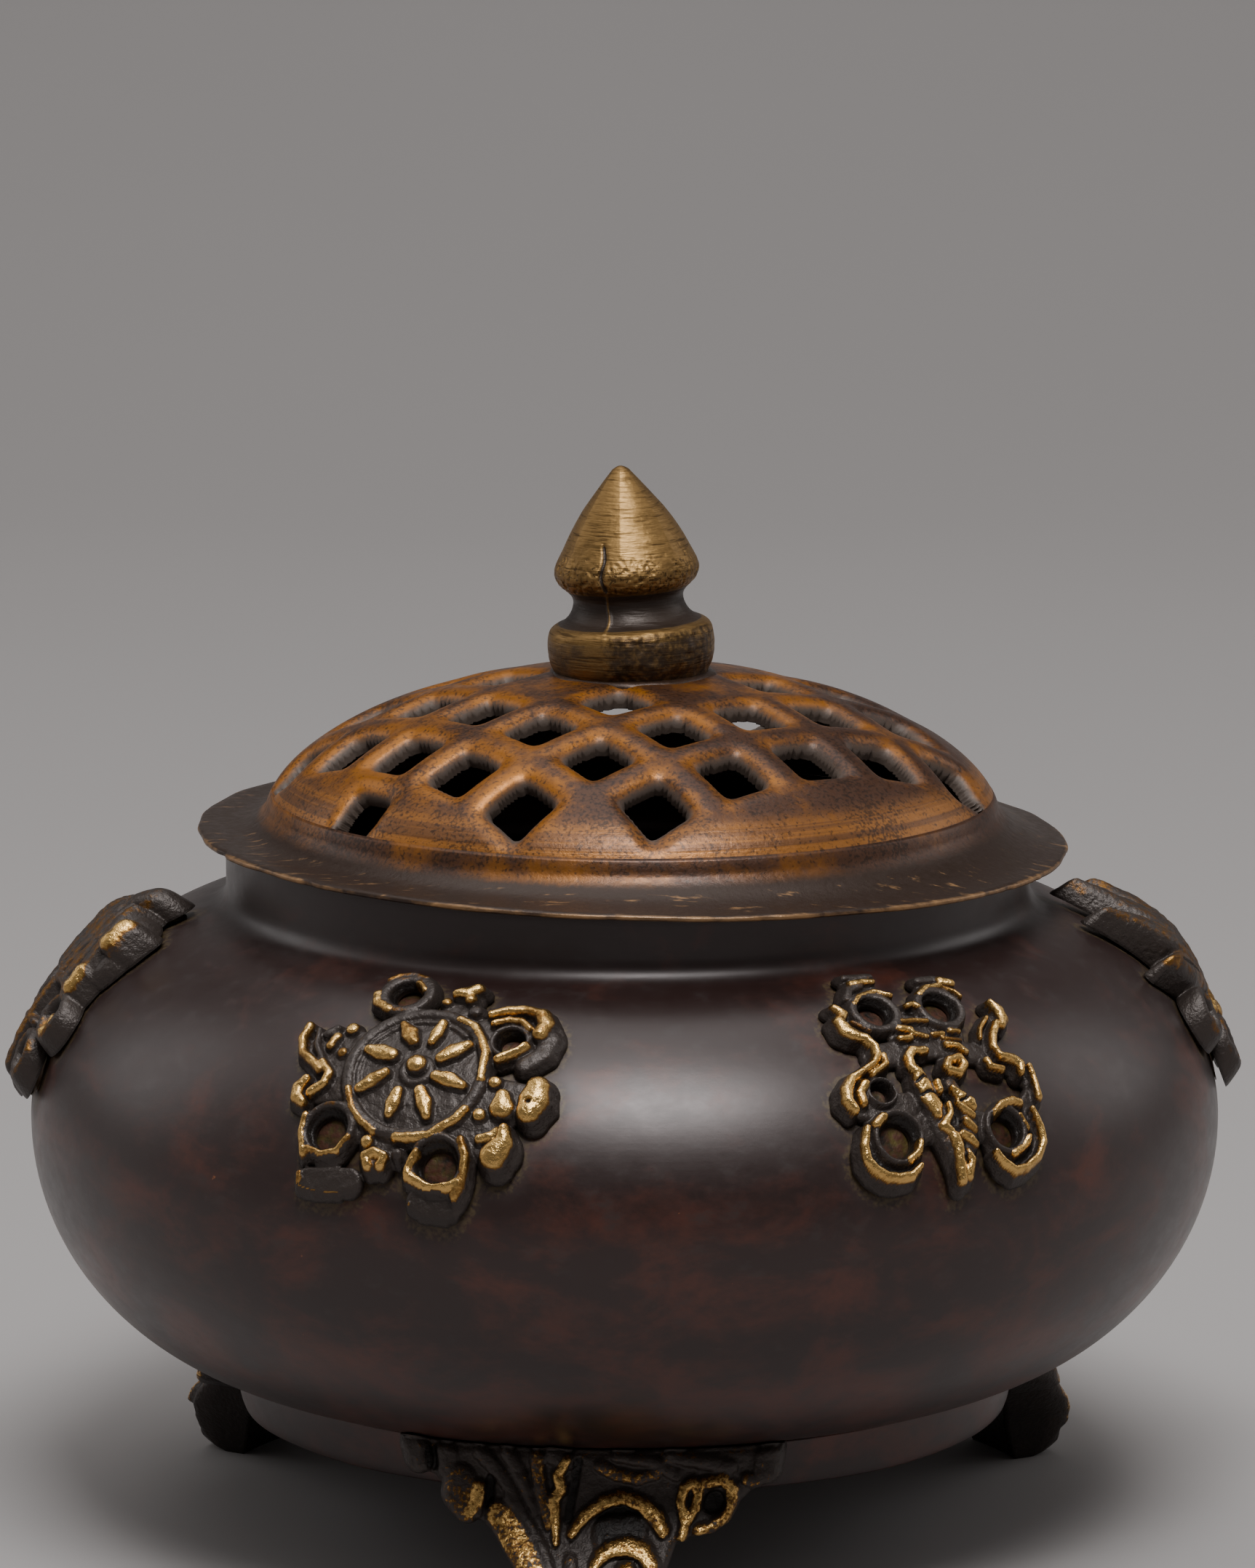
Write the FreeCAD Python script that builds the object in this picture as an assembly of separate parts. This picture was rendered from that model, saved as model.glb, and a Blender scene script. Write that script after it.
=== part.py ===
import FreeCAD, Part
import math
import os

from FreeCAD import Placement, Rotation, Vector

# Incense burner: spun bowl on three scroll feet, with six emblem plaques and a lift-off pierced lid.
# Millimetres, Z up, front towards -Y. The origin is on the floor under the middle of the bowl.

# Bowl
FLOOR_HEIGHT = 18.5
FLOOR_RADIUS = 40.0
BELLY_RADIUS = 70.0
LOWER_RISE = 29.7
SHOULDER_RISE = 26.0
BOWL_WALL = 1.6
NECK_RADIUS = 47.2
NECK_RISE = 7.7
NECK_FILLET = 3.0
RIM_TILT = 1.0

# Foot ring
RING_BOTTOM = 13.3
RING_TOP_RADIUS = 46.5
RING_BOTTOM_RADIUS = 45.4
RING_WALL = 1.8

# Feet
FOOT_AZIMUTHS = {"front_foot": -4.0, "right_rear_foot": 117.0, "left_rear_foot": -120.0}
FOOT_PLATE = 3.2
FOOT_KNEE = 12.4
FOOT_KNEE_HEIGHT = 4.4
FOOT_TOE = 9.6
FOOT_HEEL = 5.6
FOOT_RELIEF = 0.9
FOOT_SOLDER = 0.4
FOOT_SPAN = 64.0

# Plaques, each with its azimuth from the front, its place on the shoulder and its roll in degrees
PLAQUE_SEATS = {
    "wheel_plaque": (-21.0, 41.0, 0.0),
    "fish_plaque": (32.0, 39.0, 0.0),
    "lotus_plaque": (94.0, 39.5, 0.0),
    "knot_plaque": (154.0, 38.0, 0.0),
    "vase_plaque": (216.0, 38.0, 0.0),
    "parasol_plaque": (-83.0, 39.5, 0.0),
}
PLAQUE_SOLDER = 0.6
PLAQUE_PLATE = 1.9
PLAQUE_RELIEF = 1.3
PLAQUE_PAD_RADIUS = 6.0
PLAQUE_FLATNESS = 1.22
EYELET_RADIUS = 3.5
EYELET_HOLE = 1.9

# Lid, which sits a little to the right on the neck
LID_SHIFT = 0.9
SEAT_CLEARANCE = 0.02
BRIM_OVERHANG = 3.8
BRIM_EDGE = 1.1
BRIM_DROP = 1.25
BRIM_PLAY = 1.1
DOME_INSET = 4.3
DOME_FOOT = 3.2
DOME_RISE = 16.2
DOME_FULLNESS = 0.6
DOME_WALL = 2.4
CROWN_RADIUS = 10.6
CROWN_PAD = 0.3

# Lattice of the lid, laid out by hand: one hole, the steps to the next row and column, and one stray edge hole
HOLE_START = Vector(-0.5, -5.8, 0)
HOLE_ROW = Vector(8.3, 6.2, 0)
HOLE_COLUMN = Vector(6.5, -7.0, 0)
HOLE_STRAY = Vector(-30.6, -28.0, 0)
HOLE_SIDE = 6.2
HOLE_CORNER = 1.1
HOLE_BORDER = 2.4

# Finial
FINIAL_LEAN = -2.0
FLANGE_RADIUS = 9.6
WAIST_RADIUS = 6.2
KNOB_RADIUS = 8.4
FLANGE_HEIGHT = 5.0
WAIST_HEIGHT = 8.2
KNOB_HEIGHT = 12.2
FINIAL_HEIGHT = 24.0
TIP_RADIUS = 0.5
TANG_RADIUS = 2.0
TANG_CLEARANCE = 0.15
RIVET_RADIUS = 3.2
RIVET_HEIGHT = 1.3
WASHER_RADIUS = 4.6
WASHER_THICKNESS = 1.2

BELLY_HEIGHT = FLOOR_HEIGHT + LOWER_RISE
NECK_WAY = math.sqrt(1 - ((NECK_RADIUS - FLOOR_RADIUS) / (BELLY_RADIUS - FLOOR_RADIUS)) ** 2)
RIM_HEIGHT = BELLY_HEIGHT + SHOULDER_RISE * NECK_WAY + NECK_RISE
RIM_PLACE = Placement(Vector(0, 0, RIM_HEIGHT), Rotation(Vector(0, 1, 0), RIM_TILT))
LID_PLACE = RIM_PLACE.multiply(Placement(Vector(LID_SHIFT, 0, 0), Rotation()))
UP = Vector(0, 0, 1)


def at(radius, height):
    return Vector(radius, 0, height)


def line(start, end):
    return Part.LineSegment(start, end).toShape()


def arc(start, middle, end):
    return Part.Arc(start, middle, end).toShape()


def quarter(start, corner, end, fullness=math.sqrt(0.5)):
    # Curve between two tangents that meet in the corner, a quarter of an ellipse unless told otherwise
    curve = Part.BezierCurve()
    curve.setPoles([start, corner, end])
    curve.setWeight(2, fullness)
    return curve.toShape()


def turned(edges, angle=360.0):
    return Part.Face(Part.Wire(edges)).revolve(Vector(), UP, angle)


def fused(shapes):
    return shapes[0].multiFuse(shapes[1:]).removeSplitter() if len(shapes) > 1 else shapes[0]


def belly(offset, flatness=1.0, seat=0.0):
    # Outside of the belly, moved outwards, and for the castings also flattened about their seat on the shoulder
    turn = math.radians(seat)
    across = BELLY_RADIUS - FLOOR_RADIUS
    middle = FLOOR_RADIUS - (flatness - 1) * across * math.cos(turn)
    height = BELLY_HEIGHT - (flatness - 1) * SHOULDER_RISE * math.sin(turn)
    widest = middle + flatness * across + offset
    low = height - flatness * LOWER_RISE - offset
    high = height + flatness * SHOULDER_RISE + offset
    return turned([
        line(at(0, low), at(middle, low)),
        quarter(at(middle, low), at(widest, low), at(widest, height)),
        quarter(at(widest, height), at(widest, high), at(middle, high)),
        line(at(middle, high), at(0, high)),
        line(at(0, high), at(0, low)),
    ])


def vessel(offset, fillet):
    # Belly with its neck, filleted where the neck leaves the shoulder
    radius = NECK_RADIUS + offset
    top = RIM_HEIGHT + NECK_RISE
    neck = Part.makeCylinder(radius, top - BELLY_HEIGHT, Vector(0, 0, BELLY_HEIGHT))
    solid = belly(offset).fuse(neck).removeSplitter()
    inner = []
    for edge in solid.Edges:
        box = edge.BoundBox
        if box.ZLength < 0.01 and abs(box.XMax - radius) < 0.01 and box.ZMax < RIM_HEIGHT:
            inner.append(edge)
    return solid.makeFillet(fillet, inner)


def above_rim():
    size = 4 * BELLY_RADIUS
    block = Part.makeBox(size, size, size, Vector(-size / 2, -size / 2, 0))
    block.Placement = RIM_PLACE
    return block


def bowl():
    wall = vessel(0, NECK_FILLET).cut(vessel(-BOWL_WALL, NECK_FILLET + BOWL_WALL))
    return wall.cut(above_rim())


def ring_radius(height):
    share = (height - RING_BOTTOM) / (FLOOR_HEIGHT - RING_BOTTOM)
    return RING_BOTTOM_RADIUS + share * (RING_TOP_RADIUS - RING_BOTTOM_RADIUS)


def foot_ring():
    top = FLOOR_HEIGHT + 0.1 * LOWER_RISE
    band = turned([
        line(at(ring_radius(RING_BOTTOM), RING_BOTTOM), at(ring_radius(top), top)),
        line(at(ring_radius(top), top), at(ring_radius(top) - RING_WALL, top)),
        line(at(ring_radius(top) - RING_WALL, top), at(ring_radius(RING_BOTTOM) - RING_WALL, RING_BOTTOM)),
        line(at(ring_radius(RING_BOTTOM) - RING_WALL, RING_BOTTOM), at(ring_radius(RING_BOTTOM), RING_BOTTOM)),
    ])
    return band.cut(belly(0))


def to_front(shape):
    shape.rotate(Vector(), UP, -90 - FOOT_SPAN / 2)
    return shape


def foot_layer(proud):
    # Side view of a foot, turned round the bowl so that its plate follows the ring
    base = RING_BOTTOM_RADIUS
    top = FLOOR_HEIGHT + 1.5
    inner = ring_radius(top) + FOOT_SOLDER
    knee = at(base + FOOT_KNEE + proud, FOOT_KNEE_HEIGHT)
    shin = at(base + 0.62 * FOOT_KNEE + proud, 0.85 * RING_BOTTOM)
    side = [
        line(at(inner, top), at(base + FOOT_SOLDER, RING_BOTTOM)),
        arc(at(base + FOOT_SOLDER, RING_BOTTOM), at(base + 2.4, 0.5 * RING_BOTTOM), at(base + FOOT_HEEL, 0)),
        line(at(base + FOOT_HEEL, 0), at(base + FOOT_TOE + proud, 0)),
        arc(at(base + FOOT_TOE + proud, 0), at(base + FOOT_KNEE - 0.9 + proud, 0.36 * FOOT_KNEE_HEIGHT), knee),
        arc(knee, at(base + FOOT_KNEE - 1.4 + proud, 1.8 * FOOT_KNEE_HEIGHT), shin),
        arc(shin, at(base + 0.5 * FOOT_KNEE + proud, 1.1 * RING_BOTTOM), at(inner + FOOT_PLATE + proud, top)),
        line(at(inner + FOOT_PLATE + proud, top), at(inner, top)),
    ]
    return to_front(turned(side, FOOT_SPAN))


def front(x, height):
    return Vector(x, -2 * BELLY_RADIUS, height)


def towards_axis(edges):
    return Part.Face(Part.Wire(edges)).extrude(Vector(0, 2 * BELLY_RADIUS, 0))


def foot_leaf():
    # Front view of a foot: leaf plate with a lobe on each side, and a leg that narrows to the toe
    top = FLOOR_HEIGHT + 2.0
    low = RING_BOTTOM
    return towards_axis([
        line(front(-21.6, top), front(-21.6, low + 3.4)),
        arc(front(-21.6, low + 3.4), front(-20.4, low + 1.5), front(-17.4, low + 0.8)),
        line(front(-17.4, low + 0.8), front(-17.2, low - 0.2)),
        arc(front(-17.2, low - 0.2), front(-15.6, 0.85 * low), front(-12.2, 0.79 * low)),
        line(front(-12.2, 0.79 * low), front(-8.2, 0.55 * low)),
        arc(front(-8.2, 0.55 * low), front(-6.6, 0.35 * low), front(-5.4, 0)),
        line(front(-5.4, 0), front(5.6, 0)),
        arc(front(5.6, 0), front(7.4, 0.35 * low), front(8.7, 0.72 * low)),
        line(front(8.7, 0.72 * low), front(10.6, 0.8 * low)),
        arc(front(10.6, 0.8 * low), front(13.9, 0.82 * low), front(15.6, low + 0.2)),
        arc(front(15.6, low + 0.2), front(19.6, low + 1.2), front(20.8, low + 3.4)),
        line(front(20.8, low + 3.4), front(20.8, top)),
        line(front(20.8, top), front(-21.6, top)),
    ])


def front_pin(x, height, radius):
    return Part.makeCylinder(radius, 2 * BELLY_RADIUS, front(x, height), Vector(0, 1, 0))


def front_bar(start, end, width):
    ends = [Vector(start[0], start[1], 0), Vector(end[0], end[1], 0)]
    bar = flat_bar(ends[0], ends[1], width).extrude(Vector(0, 0, 2 * BELLY_RADIUS))
    bar.Placement = Placement(Vector(), Rotation(Vector(1, 0, 0), 90))
    return bar


def foot():
    low = RING_BOTTOM
    relief = fused([
        front_bar((-4.4, low + 5.5), (-3.8, 0.85 * low), 3.2),
        front_bar((-12.5, 0.95 * low), (-4.6, 0.5 * low), 3.4),
        front_pin(3.2, 0.8 * low, 5.0).cut(front_pin(3.2, 0.8 * low, 3.6)),
        front_pin(3.4, 0.58 * low, 3.2).cut(front_pin(3.4, 0.58 * low, 1.4)),
        front_pin(12.8, low, 2.6).cut(front_pin(12.8, low, 1.2)),
        front_bar((-18.6, low + 3.9), (-8.6, low + 2.0), 2.8),
        front_bar((17.6, low + 3.9), (9.6, low + 1.8), 2.8),
        front_bar((-3.2, 0.2 * low), (3.4, 0.2 * low), 2.6),
    ])
    leaf = foot_leaf()
    solid = foot_layer(0).common(leaf).fuse(foot_layer(FOOT_RELIEF).common(relief).common(leaf))
    return solid.removeSplitter().cut(belly(FOOT_SOLDER))


def foot_solder():
    # Braze between the plate of a foot and the ring
    top = FLOOR_HEIGHT
    low = RING_BOTTOM + 0.8
    band = to_front(turned([
        line(at(ring_radius(low), low), at(ring_radius(top), top)),
        line(at(ring_radius(top), top), at(ring_radius(top) + FOOT_SOLDER, top)),
        line(at(ring_radius(top) + FOOT_SOLDER, top), at(ring_radius(low) + FOOT_SOLDER, low)),
        line(at(ring_radius(low) + FOOT_SOLDER, low), at(ring_radius(low), low)),
    ], FOOT_SPAN))
    window = Part.makeBox(26, 2 * BELLY_RADIUS, 2 * FLOOR_HEIGHT, Vector(-13, -2 * BELLY_RADIUS, 0))
    return band.common(window)


def at_foot(shape, name):
    shape = shape.copy()
    shape.rotate(Vector(), UP, FOOT_AZIMUTHS[name])
    return shape


def disc(x, y, radius):
    circle = Part.Circle(Vector(x, y, 0), UP, radius)
    return Part.Face(Part.Wire(circle.toShape()))


def oval(x, y, half_width, half_height, lean=0.0):
    long, short = max(half_width, half_height), min(half_width, half_height)
    shape = Part.Face(Part.Wire(Part.Ellipse(Vector(), long, short).toShape()))
    shape.rotate(Vector(), UP, lean + (90 if half_height > half_width else 0))
    shape.translate(Vector(x, y, 0))
    return shape


def flat_bar(start, end, width):
    along = (end - start).normalize() * (width / 2)
    side = Vector(-along.y, along.x, 0)
    return Part.Face(Part.Wire([
        line(start + side, end + side),
        arc(end + side, end + along, end - side),
        line(end - side, start - side),
        arc(start - side, start - along, start + side),
    ]))


def ribbon(points, width):
    corners = [Vector(x, y, 0) for x, y in points]
    return [flat_bar(a, b, width) for a, b in zip(corners, corners[1:])]


def eyelets(places):
    return [disc(x, y, EYELET_RADIUS) for x, y in places]


def eyelet_holes(places):
    return [disc(x, y, EYELET_HOLE) for x, y in places]


def petals(count, radius, half_width, half_length):
    shapes = []
    for index in range(count):
        turn = 360.0 * index / count
        x = radius * math.sin(math.radians(turn))
        y = radius * math.cos(math.radians(turn))
        shapes.append(oval(x, y, half_width, half_length, -turn))
    return shapes


def seat_place(name):
    # Plane that touches the shoulder where the plaque sits: X to the right, Y up the shoulder, Z outwards
    azimuth, seat, roll = PLAQUE_SEATS[name]
    across, rise = BELLY_RADIUS - FLOOR_RADIUS, SHOULDER_RISE
    turn = math.radians(seat)
    radius = FLOOR_RADIUS + across * math.cos(turn)
    height = BELLY_HEIGHT + rise * math.sin(turn)
    outwards = Vector(0, -math.cos(turn) / across, math.sin(turn) / rise).normalize()
    right = Vector(1, 0, 0)
    place = Placement(Vector(0, -radius, height), Rotation(right, outwards.cross(right), outwards, "ZXY"))
    spin = Placement(Vector(), Rotation(UP, azimuth))
    return spin.multiply(place).multiply(Placement(Vector(), Rotation(UP, roll)))


def standing(name, faces):
    # Flat outlines drawn out along the normal of the plaque's seat
    depth = 12.0
    prisms = []
    for face in faces:
        face = face.copy()
        face.translate(Vector(0, 0, -depth))
        prism = face.extrude(Vector(0, 0, 2 * depth))
        prism.Placement = seat_place(name).multiply(prism.Placement)
        prisms.append(prism)
    return fused(prisms)


def casting(name, offset):
    return belly(offset, PLAQUE_FLATNESS, PLAQUE_SEATS[name][1])


def plaque(name, plate, relief, rings):
    # Flatter than the shoulder, so that its edges stand clear of the bowl
    back = casting(name, PLAQUE_SOLDER)
    face = PLAQUE_SOLDER + PLAQUE_PLATE
    plate = standing(name, plate + eyelets(rings)).common(casting(name, face).cut(back))
    raised = standing(name, relief).common(casting(name, face + PLAQUE_RELIEF).cut(back))
    raised = raised.common(standing(name, PLAQUE_FIELD))
    holes = standing(name, eyelet_holes(rings))
    return plate.fuse(raised).removeSplitter().cut(holes)


PLAQUE_FIELD = [disc(0, 0, 18)]


def wheel_plaque():
    rings = [(-4.8, 10.2), (10.0, 5.6), (5.2, -10.9), (-8.7, -8.4)]
    knobs = [disc(14.0, -2.7, 2.1), disc(11.2, -8.8, 2.3), disc(2.8, 10.8, 2.1), disc(-2.2, -11.2, 1.9)]
    plate = [disc(0, 0, 8.6), oval(12.0, 6.4, 3.4, 3.4)] + knobs
    plate += ribbon([(0, 0), (14.0, -2.7)], 5.0) + ribbon([(0, 0), (11.2, -8.8)], 5.0)
    plate += ribbon([(0, 0), (2.8, 10.8)], 4.0) + ribbon([(0, 0), (-2.2, -11.2)], 4.0)
    plate += ribbon([(-5.0, -13.4), (-11.2, -13.4), (-11.2, -8.4)], 1.8) + ribbon([(-5.0, -13.4), (-6.4, -8.4)], 1.8)
    plate += ribbon([(2.6, -14.8), (7.4, -14.8), (7.4, -10.9)], 1.8) + ribbon([(2.6, -14.8), (3.0, -10.9)], 1.8)
    plate += ribbon([(-14.4, 4.0), (-14.4, 1.4), (-11.6, -1.2), (-13.4, -4.6)], 2.0)
    plate += ribbon([(-10.8, 3.6), (-6, 2)], 4.0) + ribbon([(-12.2, -4.0), (-6, -2)], 4.0)
    plate += ribbon([(-14.4, 4.0), (-10.8, 3.6)], 2.0)
    relief = [disc(0, 0, 8.4).cut(disc(0, 0, 7.1)), disc(0, 0, 1.3)]
    relief += petals(8, 4.7, 1.0, 2.0)
    relief += [oval(14.0, -2.7, 1.7, 1.9), disc(11.2, -8.8, 1.8), disc(2.8, 10.8, 1.7), disc(-2.2, -11.2, 1.4)]
    return plaque("wheel_plaque", plate, relief, rings)


def fish_plaque():
    rings = [(-3.4, 8.2), (5.0, 7.4), (-8.0, -8.2), (7.2, -9.0)]
    plate = [oval(-1.8, -4.0, 2.4, 9.6, 6), oval(2.0, -3.0, 2.4, 8.6, -4), disc(0.4, 3.0, 4.0)]
    plate += ribbon([(-8.4, 9.4), (-8.8, 6.4), (-6.6, 3.4), (-11.2, -0.8), (-11.6, -3.8), (-8.0, -8.2)], 2.8)
    plate += ribbon([(11.4, 7.0), (11.2, 3.8), (8.4, 0.8), (11.6, -2.4), (11.6, -5.0), (7.2, -9.0)], 2.8)
    plate += ribbon([(-6.6, 3.4), (0.4, 3.0)], 3.0) + ribbon([(8.4, 0.8), (0.4, 3.0)], 3.0)
    plate += ribbon([(-3.4, 8.2), (0.4, 3.0)], 3.0) + ribbon([(5.0, 7.4), (0.4, 3.0)], 3.0)
    plate += ribbon([(-8.0, -8.2), (-1.0, -7.0)], 3.0) + ribbon([(7.2, -9.0), (1.0, -7.0)], 3.0)
    plate += ribbon([(-4.6, 12.8), (-1.0, 12.8), (-1.4, 8.6)], 1.8) + ribbon([(-4.6, 12.8), (-5.4, 8.6)], 1.8)
    plate += ribbon([(3.6, 11.9), (8.0, 11.6), (7.0, 7.4)], 1.8) + ribbon([(3.6, 11.9), (3.0, 7.8)], 1.8)
    relief = [oval(-1.8, -4.2, 1.5, 8.6, 6), oval(2.0, -3.2, 1.5, 7.6, -4)]
    relief += ribbon([(-8.8, 6.4), (-6.6, 3.4), (-11.2, -0.8), (-11.6, -3.4)], 1.5)
    relief += ribbon([(11.2, 5.8), (11.2, 3.8), (8.4, 0.8), (11.6, -2.4)], 1.5)
    return plaque("fish_plaque", plate, relief, rings)


def lotus_plaque():
    rings = [(-10.6, -5.6), (10.6, -5.6), (-5.0, -11.2), (5.0, -11.2)]
    leaves = [(0, 5.4, 3.4, 9.8, 0), (-4.8, 3.4, 3.2, 8.8, 28), (4.8, 3.4, 3.2, 8.8, -28)]
    leaves += [(-7.6, -0.8, 2.9, 7.0, 58), (7.6, -0.8, 2.9, 7.0, -58)]
    plate = [oval(*leaf) for leaf in leaves] + [disc(0, -5.2, 6.2)]
    plate += ribbon([(-10.6, -5.6), (10.6, -5.6)], 3.6) + ribbon([(-5.0, -11.2), (5.0, -11.2)], 3.6)
    relief = [oval(x, y, 0.62 * w, 0.8 * h, lean) for x, y, w, h, lean in leaves] + [disc(0, -5.6, 3.0)]
    return plaque("lotus_plaque", plate, relief, rings)


def knot_plaque():
    rings = [(0, 11.6), (-11.0, 0), (11.0, 0), (0, -11.6)]
    strands = []
    for shift in (-4.6, 0.0, 4.6):
        strands += ribbon([(shift - 5.6, shift + 5.6), (shift + 5.6, shift - 5.6)], 2.6)
        strands += ribbon([(shift - 5.6, -shift - 5.6), (shift + 5.6, -shift + 5.6)], 2.6)
    plate = [oval(0, 0, 11.4, 12.0)]
    return plaque("knot_plaque", plate, strands, rings)


def vase_plaque():
    rings = [(-9.6, 3.4), (9.6, 3.4), (-8.2, -9.4), (8.2, -9.4)]
    plate = [oval(0, -3.0, 8.2, 8.0), oval(0, 10.4, 6.4, 3.0), oval(0, -12.4, 6.6, 2.8)]
    plate += ribbon([(0, -3), (0, 10.4)], 6.4) + ribbon([(0, -3), (0, -12.4)], 6.4)
    plate += ribbon([(-9.6, 3.4), (9.6, 3.4)], 3.4) + ribbon([(-8.2, -9.4), (8.2, -9.4)], 3.4)
    relief = [oval(0, -3.0, 6.4, 6.2), oval(0, 10.4, 5.0, 1.7), oval(0, -12.4, 5.2, 1.6)]
    relief += ribbon([(0, 0), (0, 10.4)], 3.6) + ribbon([(0, -3), (0, -12.4)], 4.4)
    return plaque("vase_plaque", plate, relief, rings)


def parasol_plaque():
    rings = [(-9.4, -4.6), (9.4, -4.6), (-5.4, -10.8), (5.4, -10.8)]
    plate = [oval(0, 3.6, 11.4, 8.0), disc(0, 12.4, 3.2)]
    plate += ribbon([(0, 3), (0, -13.2)], 4.6) + ribbon([(-9.4, -4.6), (9.4, -4.6)], 4.4)
    plate += ribbon([(-5.4, -10.8), (5.4, -10.8)], 3.6) + ribbon([(-8.6, 1.6), (-9.4, -4.6)], 4.0)
    plate += ribbon([(8.6, 1.6), (9.4, -4.6)], 4.0)
    relief = [oval(x, 3.8, 1.5, 5.4, 2.4 * x) for x in (-7.2, -3.7, 0.0, 3.7, 7.2)]
    relief += [disc(0, 12.4, 2.2)] + ribbon([(0, -2.4), (0, -13.0)], 2.4)
    relief += ribbon([(-8.8, -1.6), (8.8, -1.6)], 2.0)
    return plaque("parasol_plaque", plate, relief, rings)


def plaque_pad(name):
    return standing(name, [disc(0, 0, PLAQUE_PAD_RADIUS)]).common(casting(name, PLAQUE_SOLDER)).cut(belly(0))


def hole(centre):
    # Upright prism with rounded corners through one mesh of the lattice
    along = Vector(HOLE_ROW).normalize() * (HOLE_SIDE / 2)
    across = Vector(HOLE_COLUMN).normalize() * (HOLE_SIDE / 2)
    low = centre + Vector(0, 0, DOME_FOOT + 0.3)
    corners = [low - along - across, low + along - across, low + along + across, low - along + across]
    block = Part.Face(Part.makePolygon(corners + corners[:1])).extrude(Vector(0, 0, 2 * DOME_RISE))
    upright = [edge for edge in block.Edges if abs(edge.tangentAt(edge.FirstParameter).z) > 0.9]
    return block.makeFillet(HOLE_CORNER, upright)


def hole_centres():
    # Every mesh of the lattice between the crown and the border at the foot of the dome
    reach = NECK_RADIUS - DOME_INSET - HOLE_BORDER
    room = CROWN_RADIUS + 0.35 * HOLE_SIDE
    steps = range(-8, 9)
    centres = [HOLE_START + HOLE_ROW * row + HOLE_COLUMN * column for row in steps for column in steps]
    return [centre for centre in centres if room < centre.Length < reach] + [HOLE_STRAY]


def lid_profile():
    edge = NECK_RADIUS + BRIM_OVERHANG
    dome = NECK_RADIUS - DOME_INSET
    inner = dome - DOME_WALL
    top = DOME_FOOT + DOME_RISE
    land_in = NECK_RADIUS - BOWL_WALL - 1.0
    land_out = NECK_RADIUS + BRIM_PLAY
    lip = BRIM_EDGE - BRIM_DROP
    return [
        line(at(0, top), at(0, top - DOME_WALL)),
        quarter(at(0, top - DOME_WALL), at(inner, top - DOME_WALL), at(inner, DOME_FOOT), DOME_FULLNESS),
        line(at(inner, DOME_FOOT), at(land_in, SEAT_CLEARANCE)),
        line(at(land_in, SEAT_CLEARANCE), at(land_out, SEAT_CLEARANCE)),
        line(at(land_out, SEAT_CLEARANCE), at(edge, -BRIM_DROP)),
        line(at(edge, -BRIM_DROP), at(edge, lip)),
        arc(at(edge, lip), at((edge + dome) / 2 - 0.3, (lip + DOME_FOOT) / 2 - 0.3), at(dome, DOME_FOOT)),
        quarter(at(dome, DOME_FOOT), at(dome, top), at(0, top), DOME_FULLNESS),
    ]


def lid():
    pad = Part.makeCylinder(CROWN_RADIUS, CROWN_PAD + 0.8, Vector(0, 0, DOME_FOOT + DOME_RISE - 0.8))
    solid = turned(lid_profile()).fuse(pad).removeSplitter()
    holes = [hole(centre) for centre in hole_centres()]
    bore = Part.makeCylinder(TANG_RADIUS + TANG_CLEARANCE, 2 * DOME_RISE, Vector(0, 0, DOME_FOOT))
    solid = solid.cut(holes + [bore])
    solid.Placement = LID_PLACE.multiply(solid.Placement)
    return solid


def washer_top():
    # Height under the crown where the edge of the washer meets the dome
    inner = lid_profile()[1]
    edge = inner.Curve.intersect(Part.LineSegment(at(WASHER_RADIUS, 0), at(WASHER_RADIUS, 2 * DOME_RISE)))
    return max(point.Z for point in edge)


def finial_washer():
    low = washer_top() - WASHER_THICKNESS
    solid = Part.makeCylinder(WASHER_RADIUS, WASHER_THICKNESS, Vector(0, 0, low))
    solid = solid.cut(Part.makeCylinder(TANG_RADIUS + TANG_CLEARANCE, 4 * WASHER_THICKNESS, Vector(0, 0, low - 1)))
    solid.Placement = LID_PLACE
    return solid


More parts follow.
